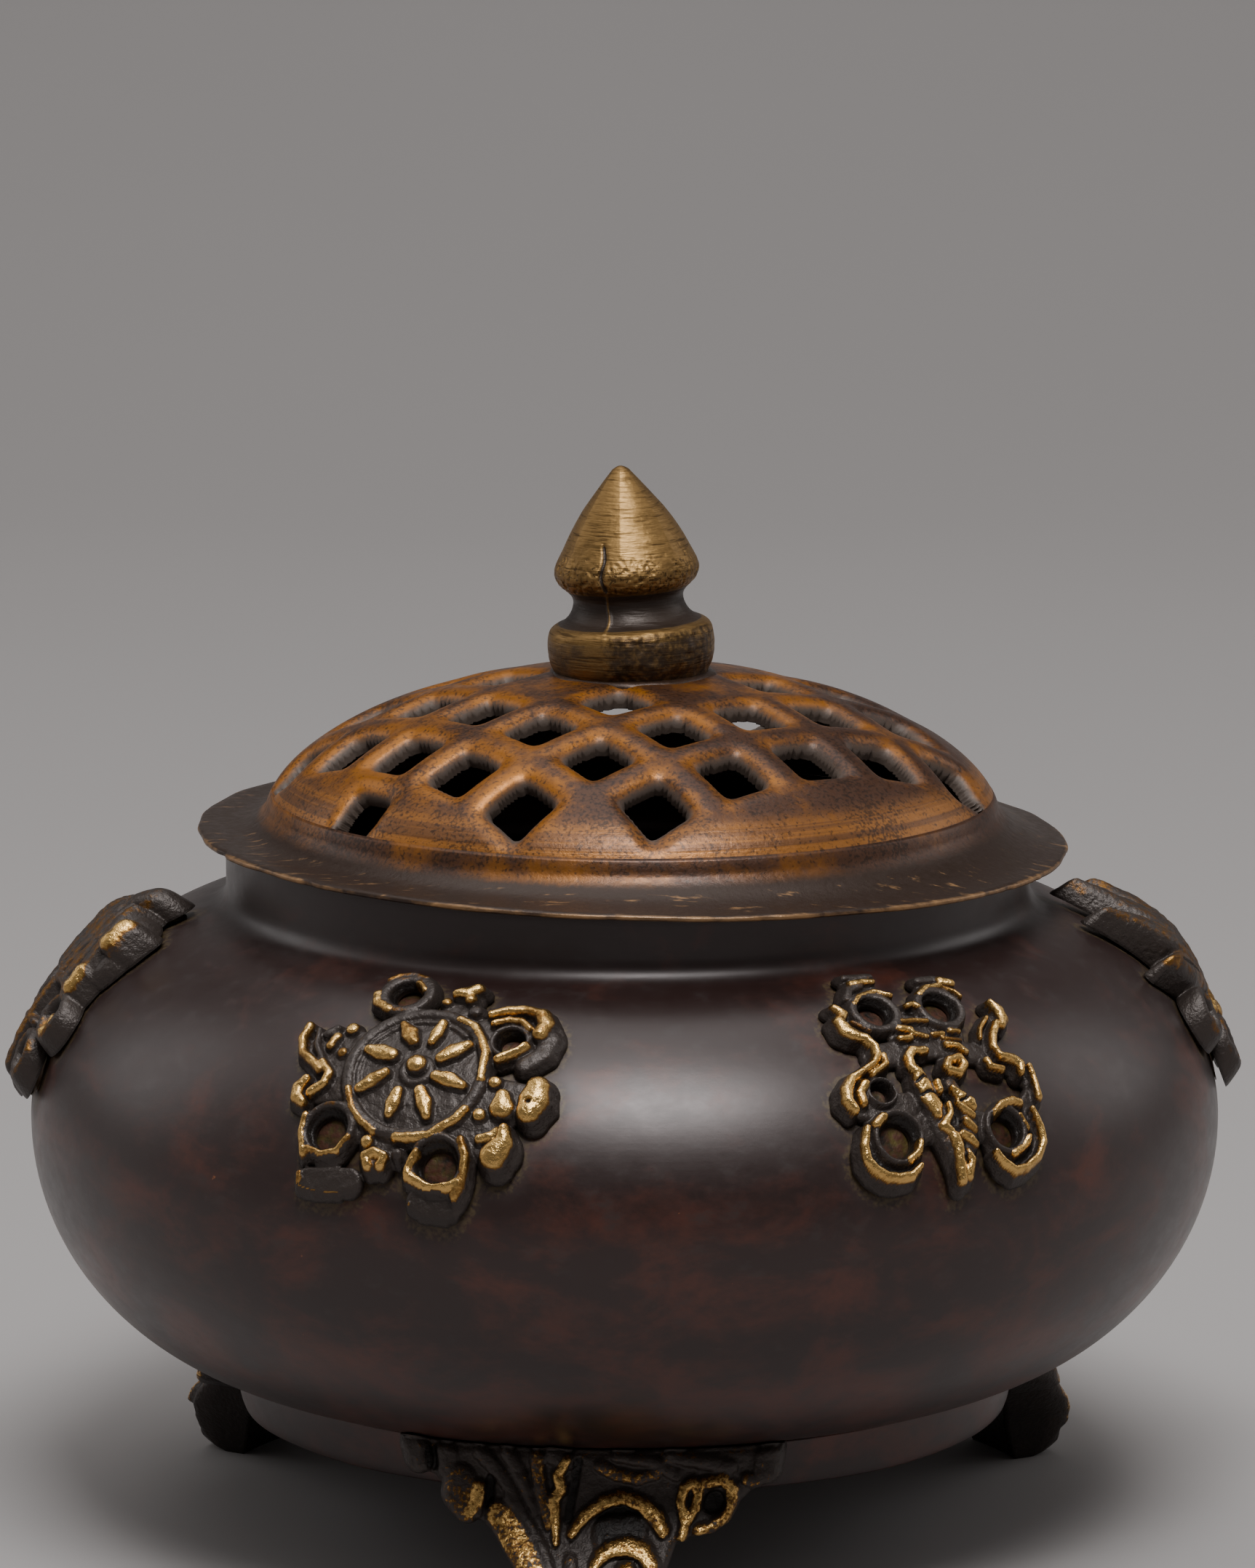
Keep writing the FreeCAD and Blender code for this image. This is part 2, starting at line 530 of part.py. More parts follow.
def finial():
    seat = DOME_FOOT + DOME_RISE + CROWN_PAD
    body = turned([
        line(at(0, -2.0), at(FLANGE_RADIUS - 1.0, -2.0)),
        line(at(FLANGE_RADIUS - 1.0, -2.0), at(FLANGE_RADIUS - 0.4, 0.6)),
        arc(
            at(FLANGE_RADIUS - 0.4, 0.6),
            at(FLANGE_RADIUS, 0.6 * FLANGE_HEIGHT),
            at(FLANGE_RADIUS - 1.2, FLANGE_HEIGHT),
        ),
        arc(
            at(FLANGE_RADIUS - 1.2, FLANGE_HEIGHT),
            at(WAIST_RADIUS + 0.6, (FLANGE_HEIGHT + WAIST_HEIGHT) / 2),
            at(WAIST_RADIUS, WAIST_HEIGHT),
        ),
        arc(
            at(WAIST_RADIUS, WAIST_HEIGHT),
            at(WAIST_RADIUS + 0.25 * (KNOB_RADIUS - WAIST_RADIUS), 0.6 * WAIST_HEIGHT + 0.4 * KNOB_HEIGHT),
            at(KNOB_RADIUS - 0.6, 0.45 * WAIST_HEIGHT + 0.55 * KNOB_HEIGHT),
        ),
        arc(
            at(KNOB_RADIUS - 0.6, 0.45 * WAIST_HEIGHT + 0.55 * KNOB_HEIGHT),
            at(KNOB_RADIUS - 0.1, 0.2 * WAIST_HEIGHT + 0.8 * KNOB_HEIGHT),
            at(KNOB_RADIUS, KNOB_HEIGHT),
        ),
        arc(
            at(KNOB_RADIUS, KNOB_HEIGHT),
            at(0.66 * KNOB_RADIUS, 0.5 * (KNOB_HEIGHT + FINIAL_HEIGHT)),
            at(TIP_RADIUS, FINIAL_HEIGHT),
        ),
        line(at(TIP_RADIUS, FINIAL_HEIGHT), at(0, FINIAL_HEIGHT)),
        line(at(0, FINIAL_HEIGHT), at(0, -2.0)),
    ])
    body.rotate(Vector(), Vector(0, 1, 0), FINIAL_LEAN - RIM_TILT)
    body = body.cut(Part.makeBox(60, 60, 20, Vector(-30, -30, -20)))
    body.translate(Vector(0, 0, seat))
    low = washer_top() - WASHER_THICKNESS
    tang = Part.makeCylinder(TANG_RADIUS, seat - low + 1.0, Vector(0, 0, low))
    rivet = turned([
        line(at(0, low), at(0, low - RIVET_HEIGHT)),
        quarter(at(0, low - RIVET_HEIGHT), at(RIVET_RADIUS, low - RIVET_HEIGHT), at(RIVET_RADIUS, low)),
        line(at(RIVET_RADIUS, low), at(0, low)),
    ])
    solid = fused([body, tang, rivet])
    solid.Placement = LID_PLACE.multiply(solid.Placement)
    return solid


def write(name, shape):
    shape.exportStep(os.path.join("parts", name + ".step"))
    print(name, len(shape.Solids), "solid", round(shape.Volume), "mm3")


os.makedirs("parts", exist_ok=True)
write("bowl", bowl())
write("foot_ring", foot_ring())
FOOT = foot()
for foot_name in FOOT_AZIMUTHS:
    write(foot_name, at_foot(FOOT, foot_name))
write("foot_solder", Part.makeCompound([at_foot(foot_solder(), name) for name in FOOT_AZIMUTHS]))
for build in (wheel_plaque, fish_plaque, lotus_plaque, knot_plaque, vase_plaque, parasol_plaque):
    write(build.__name__, build())
write("plaque_solder", Part.makeCompound([plaque_pad(name) for name in PLAQUE_SEATS]))
write("lid", lid())
write("finial", finial())
write("finial_washer", finial_washer())
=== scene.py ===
import math

import bpy
import numpy as np
from mathutils import Matrix, Vector, noise


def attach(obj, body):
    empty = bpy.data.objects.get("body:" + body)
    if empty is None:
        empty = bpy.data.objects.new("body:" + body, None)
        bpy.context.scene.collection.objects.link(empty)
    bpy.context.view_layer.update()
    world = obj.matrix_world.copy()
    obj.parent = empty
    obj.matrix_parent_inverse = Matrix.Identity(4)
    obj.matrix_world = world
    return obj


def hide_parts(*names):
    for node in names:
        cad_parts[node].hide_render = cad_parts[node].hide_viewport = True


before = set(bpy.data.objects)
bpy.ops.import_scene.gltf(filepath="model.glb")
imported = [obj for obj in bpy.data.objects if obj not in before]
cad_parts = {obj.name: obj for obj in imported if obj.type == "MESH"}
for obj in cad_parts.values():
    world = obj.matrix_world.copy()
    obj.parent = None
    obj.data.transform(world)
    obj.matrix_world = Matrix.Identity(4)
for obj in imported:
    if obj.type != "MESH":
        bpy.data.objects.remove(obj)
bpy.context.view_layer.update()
mm = 0.001  # everything below is drawn in millimetres and goes to metres when its mesh is made
metre = 1000.0


def linear(hexText):
    # sRGB hex to the linear colour that the shaders want
    values = [int(hexText[i:i + 2], 16) / 255 for i in (1, 3, 5)]
    return [v / 12.92 if v <= 0.04045 else ((v + 0.055) / 1.055) ** 2.4 for v in values] + [1.0]


def feed(tree, socket, value):
    # The value may be plain, a socket, or a node whose first live output is meant
    if isinstance(value, bpy.types.Node):
        value = next(output for output in value.outputs if output.enabled)
    if isinstance(value, bpy.types.NodeSocket):
        tree.links.new(value, socket)
    else:
        socket.default_value = value


def addNode(tree, kind, links=(), **settings):
    # Links go into the inputs of those names, or in order into the live ones
    node = tree.nodes.new(kind)
    for name, value in settings.items():
        setattr(node, name, value)
    if isinstance(links, dict):
        pairs = [(node.inputs[name], value) for name, value in links.items()]
    else:
        pairs = list(zip([socket for socket in node.inputs if socket.enabled], links))
    for socket, value in pairs:
        feed(tree, socket, value)
    return node


# What a row of nodes can say besides a plain operation on numbers
nodeKinds = {
    "range": ("ShaderNodeMapRange", {}),
    "smooth": ("ShaderNodeMapRange", {"interpolation_type": "SMOOTHSTEP"}),
    "paint": ("ShaderNodeMix", {"data_type": "RGBA"}),
    "bump": ("ShaderNodeBump", {}),
    "clampedShare": ("ShaderNodeMath", {"operation": "DIVIDE", "use_clamp": True}),
    "parts": ("ShaderNodeSeparateXYZ", {}),
    "upright": ("ShaderNodeCombineXYZ", {}),
    "above": ("FunctionNodeCompare", {"data_type": "FLOAT", "operation": "GREATER_THAN"}),
    "below": ("FunctionNodeCompare", {"data_type": "FLOAT", "operation": "LESS_THAN"}),
    "equal": ("FunctionNodeCompare", {"data_type": "INT", "operation": "EQUAL"}),
    "choose": ("GeometryNodeSwitch", {"input_type": "VECTOR"}),
    "grid": ("GeometryNodeMeshGrid", {}),
    "delete": ("GeometryNodeDeleteGeometry", {"domain": "FACE"}),
    "move": ("GeometryNodeSetPosition", {}),
    "neighbours": ("GeometryNodeInputMeshEdgeNeighbors", {}),
}
for word, operation in (
        ("length", "LENGTH"), ("scale", "SCALE"), ("plus", "ADD"), ("minus", "SUBTRACT"),
        ("cross", "CROSS_PRODUCT"), ("unit", "NORMALIZE")):
    nodeKinds[word] = ("ShaderNodeVectorMath", {"operation": operation})


def chosen(word, known):
    # A word is the name of something known, with a point before the output that is meant
    if not isinstance(word, str):
        return word
    name, _, output = word.partition(".")
    return known[name].outputs[output] if output else known[name]


def addRows(tree, known, rows):
    # A row names a node, says what it does and gives its inputs, in order or by their names
    for name, what, *links in rows:
        kind, settings = nodeKinds.get(what, ("ShaderNodeMath", {"operation": what}))
        if links and isinstance(links[0], dict):
            links = {label: chosen(word, known) for label, word in links[0].items()}
        else:
            links = [chosen(word, known) for word in links]
        known[name] = addNode(tree, kind, links, **settings)


def grain(points, size, seed):
    # Soft noise from about -1 to 1, with bumps of the given size
    shift = Vector((seed * 3.1, seed * 7.7, seed * 1.3))
    return np.array([noise.noise(Vector(point) / size + shift) for point in points])


def smoothStep(low, high, values):
    share = np.clip((values - low) / (high - low), 0.0, 1.0)
    return share * share * (3 - 2 * share)


def meshFrom(name, points, faces, values):
    mesh = bpy.data.meshes.new(name)
    mesh.from_pydata((np.asarray(points) * mm).tolist(), [], faces)
    for label, numbers in values.items():
        layer = mesh.attributes.new(label, "FLOAT", "POINT")
        layer.data.foreach_set("value", np.asarray(numbers, dtype=np.float32))
    mesh.polygons.foreach_set("use_smooth", [True] * len(mesh.polygons))
    return mesh


def addPiece(name, mesh, material, body, slot, *nodes):
    piece = bpy.data.objects.new(name, mesh)
    bpy.context.scene.collection.objects.link(piece)
    mesh.materials.clear()
    mesh.materials.append(material)
    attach(piece, body)
    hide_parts(*nodes)
    print(name, "has", len(mesh.polygons), "faces")
    return piece


def turned(profile, segments):
    # Lathe: the profile runs outwards below, up the outside and back in, so the faces look outwards
    angles = np.arange(segments) * 2 * math.pi / segments
    points, rows, faces = [], [], []
    for radius, height in profile:
        count = 1 if radius < 1e-6 else segments
        rows.append(np.arange(len(points), len(points) + count))
        points += [(radius * math.sin(a), -radius * math.cos(a), height) for a in angles[:count]]
    for low, high in zip(rows, rows[1:]):
        for i in range(segments):
            j = (i + 1) % segments
            face = [low[i % len(low)], low[j % len(low)], high[j % len(high)], high[i % len(high)]]
            faces.append([int(v) for k, v in enumerate(face) if v != face[k - 1]])
    return np.array(points), faces


# Materials: the rows of a look read its colours, values, attributes and noises by name. A noise has its size in
# millimetres, or a metre where its stretch gives all its sizes. A range or smooth row gives its source, where it
# starts and ends, and what it runs from and to.

def makeMaterial(name, look):
    material = bpy.data.materials.new(name)
    material.use_nodes = True
    tree = material.node_tree
    place = addNode(tree, "ShaderNodeTexCoord").outputs["Object"]
    known = {"place": addNode(tree, "ShaderNodeSeparateXYZ", [place])}
    known.update(look.get("values", {}))
    for label, code in look["colours"].items():
        known[label] = linear(code)
    for label in look.get("attributes", ()):
        known[label] = addNode(tree, "ShaderNodeAttribute", attribute_name=label).outputs["Fac"]
    for label, form in look["noises"].items():
        where = place
        if "stretch" in form:
            where = addNode(tree, "ShaderNodeMapping", {
                "Vector": place, "Rotation": form.get("turn", (0, 0, 0)), "Scale": form["stretch"]})
        known[label] = addNode(tree, "ShaderNodeTexNoise", {
            "Vector": where, "Scale": metre / form["size"], "Detail": form["detail"],
            "Roughness": form.get("roughness", 0.5), "Distortion": form.get("distortion", 0.0)})
    addRows(tree, known, look["rows"])
    shader = tree.nodes["Principled BSDF"]
    for label, value in look["surface"].items():
        feed(tree, shader.inputs[label], chosen(value, known))
    return material


metalSurface = {"Base Color": "base", "Roughness": "gloss", "Metallic": "metal", "Normal": "bump"}

# Copper alloy sheet, spun and then blackened with oxide under wax: nearly black satin, with a rust-red cast in
# streaky patches low down, faint turning lines, bright copper specks, and dust by the castings
oxidisedCopper = {
    "colours": {"black": "#281613", "red": "#4f261a", "smoke": "#302523", "bare": "#b4734a", "dust": "#5e4f30"},
    "attributes": ("halo", "wear"),
    "noises": {
        "patches": {"size": 13.0, "detail": 6.0, "roughness": 0.62, "distortion": 0.4, "stretch": (1.0, 1.0, 1.7)},
        "mottle": {"size": 3.2, "detail": 5.0, "roughness": 0.65, "stretch": (1.0, 1.0, 1.7)},
        "specks": {"size": 1.1, "detail": 3.0},
        "lines": {"size": metre, "detail": 3.0, "stretch": (12.0, 12.0, metre / 0.8)},
        "grains": {"size": 0.5, "detail": 2.0},
    },
    "rows": [
        ("lowDown", "range", "place.Z", 0.078, 0.034, -0.02, 0.13),
        ("redWay", "ADD", "patches", "lowDown"),
        ("redWay", "MULTIPLY_ADD", "mottle", 0.3, "redWay"),
        ("redShare", "smooth", "redWay", 0.66, 0.98),
        ("base", "paint", "redShare", "black", "red"),
        ("smokeShare", "smooth", "mottle", 0.52, 0.72, 0.0, 0.7),
        ("base", "paint", "smokeShare", "base", "smoke"),
        ("dusty", "MULTIPLY", "halo", "grains"),
        ("dustShare", "smooth", "dusty", 0.28, 0.62, 0.0, 0.55),
        ("base", "paint", "dustShare", "base", "dust"),
        ("speckWay", "MULTIPLY_ADD", "patches", 0.35, "specks"),
        ("speckShare", "range", "speckWay", 0.97, 1.06, 0.0, 0.75),
        ("wornEdge", "MULTIPLY", "wear", "mottle"),
        ("wornShare", "smooth", "wornEdge", 0.42, 0.62),
        ("bareShare", "MAXIMUM", "speckShare", "wornShare"),
        ("base", "paint", "bareShare", "base", "bare"),
        ("gloss", "range", "mottle", 0.25, 0.75, 0.33, 0.47),
        ("gloss", "MULTIPLY_ADD", "halo", 0.2, "gloss"),
        ("metal", "range", "bareShare", 0.0, 1.0, 0.3, 0.95),
        ("relief", "MULTIPLY_ADD", "lines", 0.35, "mottle"),
        ("bump", "bump", {"Strength": 0.1, "Distance": 0.0003, "Height": "relief"}),
    ],
    # the wax is a thin clear coat
    "surface": {**metalSurface, "Coat Weight": 0.5, "Coat Roughness": 0.38},
}

# Sand-cast brass left dark as it came from the mould: a grey-black skin in every hollow, rubbed through to yellow
# metal on the high relief with a ragged edge between the two, and a grainy, pin-holed surface. Holes, cut lines and
# side walls are darker still with painted shade
castBrass = {
    "colours": {"skin": "#3a322e", "hollowShade": "#1d1714", "brass": "#d6ad69", "tarnish": "#785327"},
    "values": {"wearing": 0.5},
    "attributes": ("shine", "depth"),
    "noises": {
        "patches": {"size": 2.6, "detail": 7.0, "roughness": 0.72},
        "pits": {"size": 0.5, "detail": 3.0, "roughness": 0.6},
        "grains": {"size": 0.9, "detail": 4.0},
    },
    "rows": [
        ("rubbed", "MULTIPLY_ADD", "patches", 1.1, "shine"),
        # a deep wear leaves the metal in specks
        ("specks", "SUBTRACT", "pits", 0.56),
        ("rubbed", "MULTIPLY_ADD", "specks", "wearing", "rubbed"),
        ("golden", "smooth", "rubbed", 0.84, 1.14),
        ("bright", "smooth", "rubbed", 1.05, 1.5),
        # painted shade in the holes, cuts and side walls, over the dark skin
        ("base", "paint", "depth", "skin", "hollowShade"),
        ("base", "paint", "golden", "base", "tarnish"),
        ("base", "paint", "bright", "base", "brass"),
        ("gloss", "range", "bright", 0.0, 1.0, 0.42, 0.27),
        ("metal", "range", "golden", 0.0, 1.0, 0.4, 1.0),
        ("relief", "MULTIPLY_ADD", "grains", 0.8, "pits"),
        ("bump", "bump", {"Strength": 0.55, "Distance": 0.00025, "Height": "relief"}),
    ],
    "surface": metalSurface,
}

# Bronze lid under an amber wax patina: orange-gold where the bars are rubbed, chestnut brown elsewhere, dusty
# grey-brown down the walls of the holes, turning lines along the foot, scratches and bare metal on the brim. The amber
# is painted lighter towards the left, as painted light from that side
amberBronze = {
    "colours": {
        "amber": "#985d15", "chestnut": "#4c3122", "dust": "#4f433b", "dullAndPadShadow": "#35271f", "lined": "#9c6428",
        "bare": "#b58a5c", "grime": "#1f1510"},
    "attributes": ("bore", "brim", "wear", "band"),
    "noises": {
        "patches": {"size": 11.0, "detail": 5.0, "roughness": 0.6},
        "fine": {"size": 1.1, "detail": 5.0, "roughness": 0.68},
        "lines": {"size": metre, "detail": 2.0, "stretch": (6.0, 6.0, metre / 0.6)},
        "marks": {"size": 1.3, "detail": 4.0, "roughness": 0.7, "stretch": (0.25, 1.0, 1.0)},
        "speckles": {"size": 0.4, "detail": 3.0},
    },
    "rows": [
        # painted light: more amber to the left, more chestnut to the right
        ("paintedLeftLight", "range", "place.X", -0.03, 0.045, -0.1, 0.13),
        ("deepWay", "MULTIPLY_ADD", "fine", 0.35, "patches"),
        ("deepWay", "ADD", "deepWay", "paintedLeftLight"),
        # hands have rubbed the lips of the holes most
        ("lips", "smooth", "bore", 1.0, 2.6, -0.1, 0.06),
        ("deepWay", "ADD", "deepWay", "lips"),
        ("deepShare", "smooth", "deepWay", 0.46, 0.8),
        ("base", "paint", "deepShare", "amber", "chestnut"),
        ("lighter", "MULTIPLY", "band", 0.75),
        ("base", "paint", "lighter", "base", "lined"),
        ("grooves", "range", "lines", 0.46, 0.58, 0.0, 0.65),
        ("grooved", "MULTIPLY", "grooves", "band"),
        ("base", "paint", "grooved", "base", "chestnut"),
        # dirt has settled in the finest pits of the wax, in some places more than in others
        ("grimeWay", "MULTIPLY_ADD", "patches", 0.55, "speckles"),
        ("grimeShare", "smooth", "grimeWay", 0.76, 0.96, 0.0, 0.7),
        ("base", "paint", "grimeShare", "base", "grime"),
        # the dull brim, and the painted shadow on the pad under the finial
        ("dullAndPadShadowWay", "MULTIPLY_ADD", "fine", -0.5, "brim"),
        ("dullAndPadShadowShare", "smooth", "dullAndPadShadowWay", 0.0, 0.55),
        ("base", "paint", "dullAndPadShadowShare", "base", "dullAndPadShadow"),
        ("marked", "MULTIPLY", "marks", "brim"),
        ("markShare", "smooth", "marked", 0.58, 0.74, 0.0, 0.7),
        ("base", "paint", "markShare", "base", "bare"),
        ("wall", "smooth", "bore", 0.1, 0.8, 1.0, 0.0),
        ("base", "paint", "wall", "base", "dust"),
        ("wornWay", "MULTIPLY_ADD", "marks", 0.9, "wear"),
        ("wornShare", "smooth", "wornWay", 0.85, 1.3, 0.0, 0.5),
        ("base", "paint", "wornShare", "base", "bare"),
        ("gloss", "range", "fine", 0.3, 0.7, 0.29, 0.44),
        ("gloss", "MULTIPLY_ADD", "wall", 0.25, "gloss"),
        ("metal", "range", "wall", 0.0, 1.0, 0.45, 0.1),
        ("ridged", "MULTIPLY", "lines", "band"),
        ("relief", "MULTIPLY_ADD", "ridged", 1.2, "fine"),
        ("bump", "bump", {"Strength": 0.22, "Distance": 0.0003, "Height": "relief"}),
    ],
    "surface": metalSurface,
}

# Brass bar turned and filed by hand: yellow metal under a mesh of short file scratches that run around it, with
# brown oxide left in the waist, in the casting pits and on the scorched flange
filedBrass = {
    "colours": {"brass": "#937448", "shadow": "#44331f", "oxide": "#33271f", "scorched": "#2a2220"},
    "attributes": ("dark", "scorch", "pit"),
    "noises": {
        "patches": {"size": 4.0, "detail": 6.0, "roughness": 0.7},
        "skin": {"size": 0.6, "detail": 3.0},
        "pores": {"size": 0.45, "detail": 3.0, "roughness": 0.6},
        # two ways of filing, both nearly level
        "rising": {"size": metre, "detail": 3.0, "turn": (0.0, 0.2, 0.0), "stretch": (260.0, 260.0, metre / 0.3)},
        "falling": {"size": metre, "detail": 3.0, "turn": (0.0, -0.26, 0.0), "stretch": (260.0, 260.0, metre / 0.3)},
    },
    "rows": [
        ("scratches", "MINIMUM", "rising", "falling"),
        ("scratchShare", "range", "scratches", 0.44, 0.3, 0.0, 0.8),
        ("tarnished", "smooth", "patches", 0.45, 0.75, 0.0, 0.6),
        ("shaded", "MAXIMUM", "scratchShare", "tarnished"),
        ("base", "paint", "shaded", "brass", "shadow"),
        ("darkWay", "MULTIPLY_ADD", "patches", 0.6, "dark"),
        ("darkShare", "smooth", "darkWay", 0.55, 0.95),
        ("base", "paint", "darkShare", "base", "oxide"),
        ("burnt", "MULTIPLY", "scorch", "skin"),
        ("burntShare", "smooth", "burnt", 0.25, 0.6, 0.0, 0.75),
        ("base", "paint", "burntShare", "base", "scorched"),
        ("poreWay", "MULTIPLY_ADD", "pit", 0.3, "pores"),
        ("poreShare", "smooth", "poreWay", 0.82, 0.9, 0.0, 0.7),
        ("base", "paint", "poreShare", "base", "oxide"),
        ("gloss", "range", "scratches", 0.3, 0.6, 0.52, 0.4),
        ("metal", "range", "darkShare", 0.0, 1.0, 1.0, 0.35),
        ("relief", "MULTIPLY_ADD", "skin", 0.4, "scratches"),
        ("relief", "MULTIPLY_ADD", "poreShare", -0.5, "relief"),
        ("bump", "bump", {"Strength": 0.35, "Distance": 0.0003, "Height": "relief"}),
    ],
    "surface": metalSurface,
}

# Brazing alloy as it flowed and froze: dull yellow-green skin under dark flux, and copper reddened by the torch
# where only a film of it is left
flowedBraze = {
    "colours": {"alloy": "#574a22", "flux": "#231d19", "reddened": "#4e2f22"},
    "attributes": ("bare",),
    "noises": {
        "patches": {"size": 3.5, "detail": 5.0, "roughness": 0.6},
        "skin": {"size": 0.8, "detail": 3.0},
    },
    "rows": [
        ("fluxShare", "smooth", "patches", 0.42, 0.62),
        ("base", "paint", "fluxShare", "alloy", "flux"),
        ("redWay", "MULTIPLY", "skin", "bare"),
        ("redShare", "range", "redWay", 0.35, 0.6),
        ("base", "paint", "redShare", "base", "reddened"),
        ("gloss", "range", "skin", 0.0, 1.0, 0.4, 0.65),
        ("bump", "bump", {"Strength": 0.4, "Distance": 0.0003, "Height": "skin"}),
    ],
    "surface": {**metalSurface, "Metallic": 0.5},
}

copperLook = makeMaterial("spunOxidisedCopper", oxidisedCopper)
castLook = makeMaterial("castBrassDarkSkin", castBrass)
wornLook = makeMaterial("castBrassWornFeet", dict(castBrass, values={"wearing": 2.2}))
lidLook = makeMaterial("amberPatinaBronze", amberBronze)
filedLook = makeMaterial("filedBrass", filedBrass)
brazeLook = makeMaterial("flowedBraze", flowedBraze)
print("materials ready")

# Bowl

bowlForm = {
    "floorHeight": 18.5, "floorRadius": 40.0, "bellyRadius": 70.0, "lowerRise": 29.7, "shoulderRise": 26.0,
    "wall": 1.6, "neckRadius": 47.2, "rimHeight": 81.14, "rimTilt": 1.0, "neckShift": 0.4, "dents": 0.05,
    "segments": 420,
    # where dents are, by radius and height, and their size and seed
    "dentRadii": (45, 60), "dentHeights": (70, 64), "dentGrain": (22, 2),
    # dust around the plaques, and wear along the rim
    "haloWidth": 1.8, "haloReach": 24, "haloDepth": 9, "rimWear": 0.8, "rimWearSlope": 0.033, "rimBand": 4,
}
bellyHeight = bowlForm["floorHeight"] + bowlForm["lowerRise"]
bellyReach = bowlForm["bellyRadius"] - bowlForm["floorRadius"]


def softCorner(start, corner, end, count):
    # Points on the curve that leaves one wall and joins the next
    share = np.linspace(0, 1, count)[:, None]
    start, corner, end = (np.array(point) for point in (start, corner, end))
    return (start * (1 - share) ** 2 + corner * 2 * share * (1 - share) + end * share ** 2).tolist()


def bellyCurve(offset, low, high, count):
    # Part of the belly's section between two angles from its widest line
    points = []
    for angle in np.radians(np.linspace(low, high, count)):
        rise = bowlForm["shoulderRise"] if angle > 0 else bowlForm["lowerRise"]
        points.append((
            bowlForm["floorRadius"] + (bellyReach + offset) * math.cos(angle),
            bellyHeight + (rise + offset) * math.sin(angle)))
    return points


def bowlProfile():
    neck, wall, rim = bowlForm["neckRadius"], bowlForm["wall"], bowlForm["rimHeight"]
    floor, inside = bowlForm["floorHeight"], bowlForm["floorHeight"] + bowlForm["wall"]
    profile = [(0, floor), (12, floor), (24, floor), (34, floor)]
    profile += bellyCurve(0, -90, 0, 46)[:-1] + bellyCurve(0, 0, 71.7, 44)
    profile += softCorner(profile[-1], (neck, 73.5), (neck, 75.8), 8)[1:]
    profile += [(neck, 76.9), (neck, 78.1), (neck, 79.3), (neck, rim - 0.6), (neck - 0.08, rim - 0.22)]
    profile += [(neck - 0.3, rim), (neck - wall + 0.3, rim), (neck - wall + 0.08, rim - 0.22)]
    profile += [(neck - wall, rim - 1.0), (neck - wall, 78.0), (neck - wall, 75.5)]
    profile += softCorner(profile[-1], (neck - wall, 72.3), (49.0, 71.34), 6)[1:]
    profile += bellyCurve(-wall, 71.0, 0, 18)[:-1] + bellyCurve(-wall, 0, -90, 20)
    profile += [(28, inside), (14, inside), (0, inside)]
    return profile


def tiltRim(points):
    # The rim slopes down to the right and the neck stands a little to the right, as the bowl was closed by hand
    share = np.clip((points[:, 2] - 75.5) / (bowlForm["rimHeight"] - 75.5), 0, 1)
    points[:, 2] -= points[:, 0] * math.tan(math.radians(bowlForm["rimTilt"])) * share
    points[:, 0] += bowlForm["neckShift"] * smoothStep(70.0, 76.0, points[:, 2])

# Cast plaques and feet: every casting is drawn as strokes on a flat field. A stroke has its points, its half
# width (or one for each point), its rise and how far it is rubbed bright.

castingForm = {
    # how full strokes and collars stand, how far strokes melt together, and where they are rubbed
    "strokeFullness": 0.45, "collarFullness": 0.4, "melt": 0.45, "strokeRub": (0.05, 0.6), "collarRub": (0.5, 0.95),
    # where a cut gets painted shade and how steep it is
    "cutShade": 0.5, "cutSlope": 0.6,
    # a collar reaches past its ring, and its hole narrows downwards and has painted shade in and around it
    "collarSkirt": 0.15, "holeTaper": 0.78, "holeShade": (0.4, -0.1),
    # size and seed of the two grains
    "fineGrain": (0.9, 3), "coarseGrain": (2.6, 5),
    # how the border is slid: passes, step of the slope, and furthest move as a share of the mesh
    "passes": 3, "probe": 0.02, "furthest": 0.6,
    # rows of the side wall, and the painted shade on it
    "wallRows": (0.3, 0.9), "wallShade": 0.45,
}


def reach(points, x, y):
    # Distance to a line of points, and how far along it the nearest place is
    points = np.asarray(points, dtype=float)
    if len(points) == 1:
        return np.hypot(x - points[0, 0], y - points[0, 1]), np.zeros_like(x)
    best, along = np.full(x.shape, 1e9), np.zeros_like(x)
    for k, (a, b) in enumerate(zip(points, points[1:])):
        run = b - a
        share = np.clip(((x - a[0]) * run[0] + (y - a[1]) * run[1]) / (run @ run), 0, 1)
        distance = np.hypot(x - a[0] - share * run[0], y - a[1] - share * run[1])
        nearer = distance < best
        best = np.where(nearer, distance, best)
        along = np.where(nearer, (k + share) / (len(points) - 1), along)
    return best, along


def insideOutline(corners, x, y):
    # Distance to a closed outline, positive inside it
    corners = np.asarray(corners, dtype=float)
    distance, _ = reach(np.vstack([corners, corners[:1]]), x, y)
    inside = np.zeros(x.shape, dtype=bool)
    for a, b in zip(corners, np.roll(corners, -1, axis=0)):
        crosses = (a[1] > y) != (b[1] > y)
        slope = (b[0] - a[0]) / (b[1] - a[1]) if a[1] != b[1] else 0.0
        inside ^= crosses & (x < a[0] + (y - a[1]) * slope)
    return np.where(inside, distance, -distance)


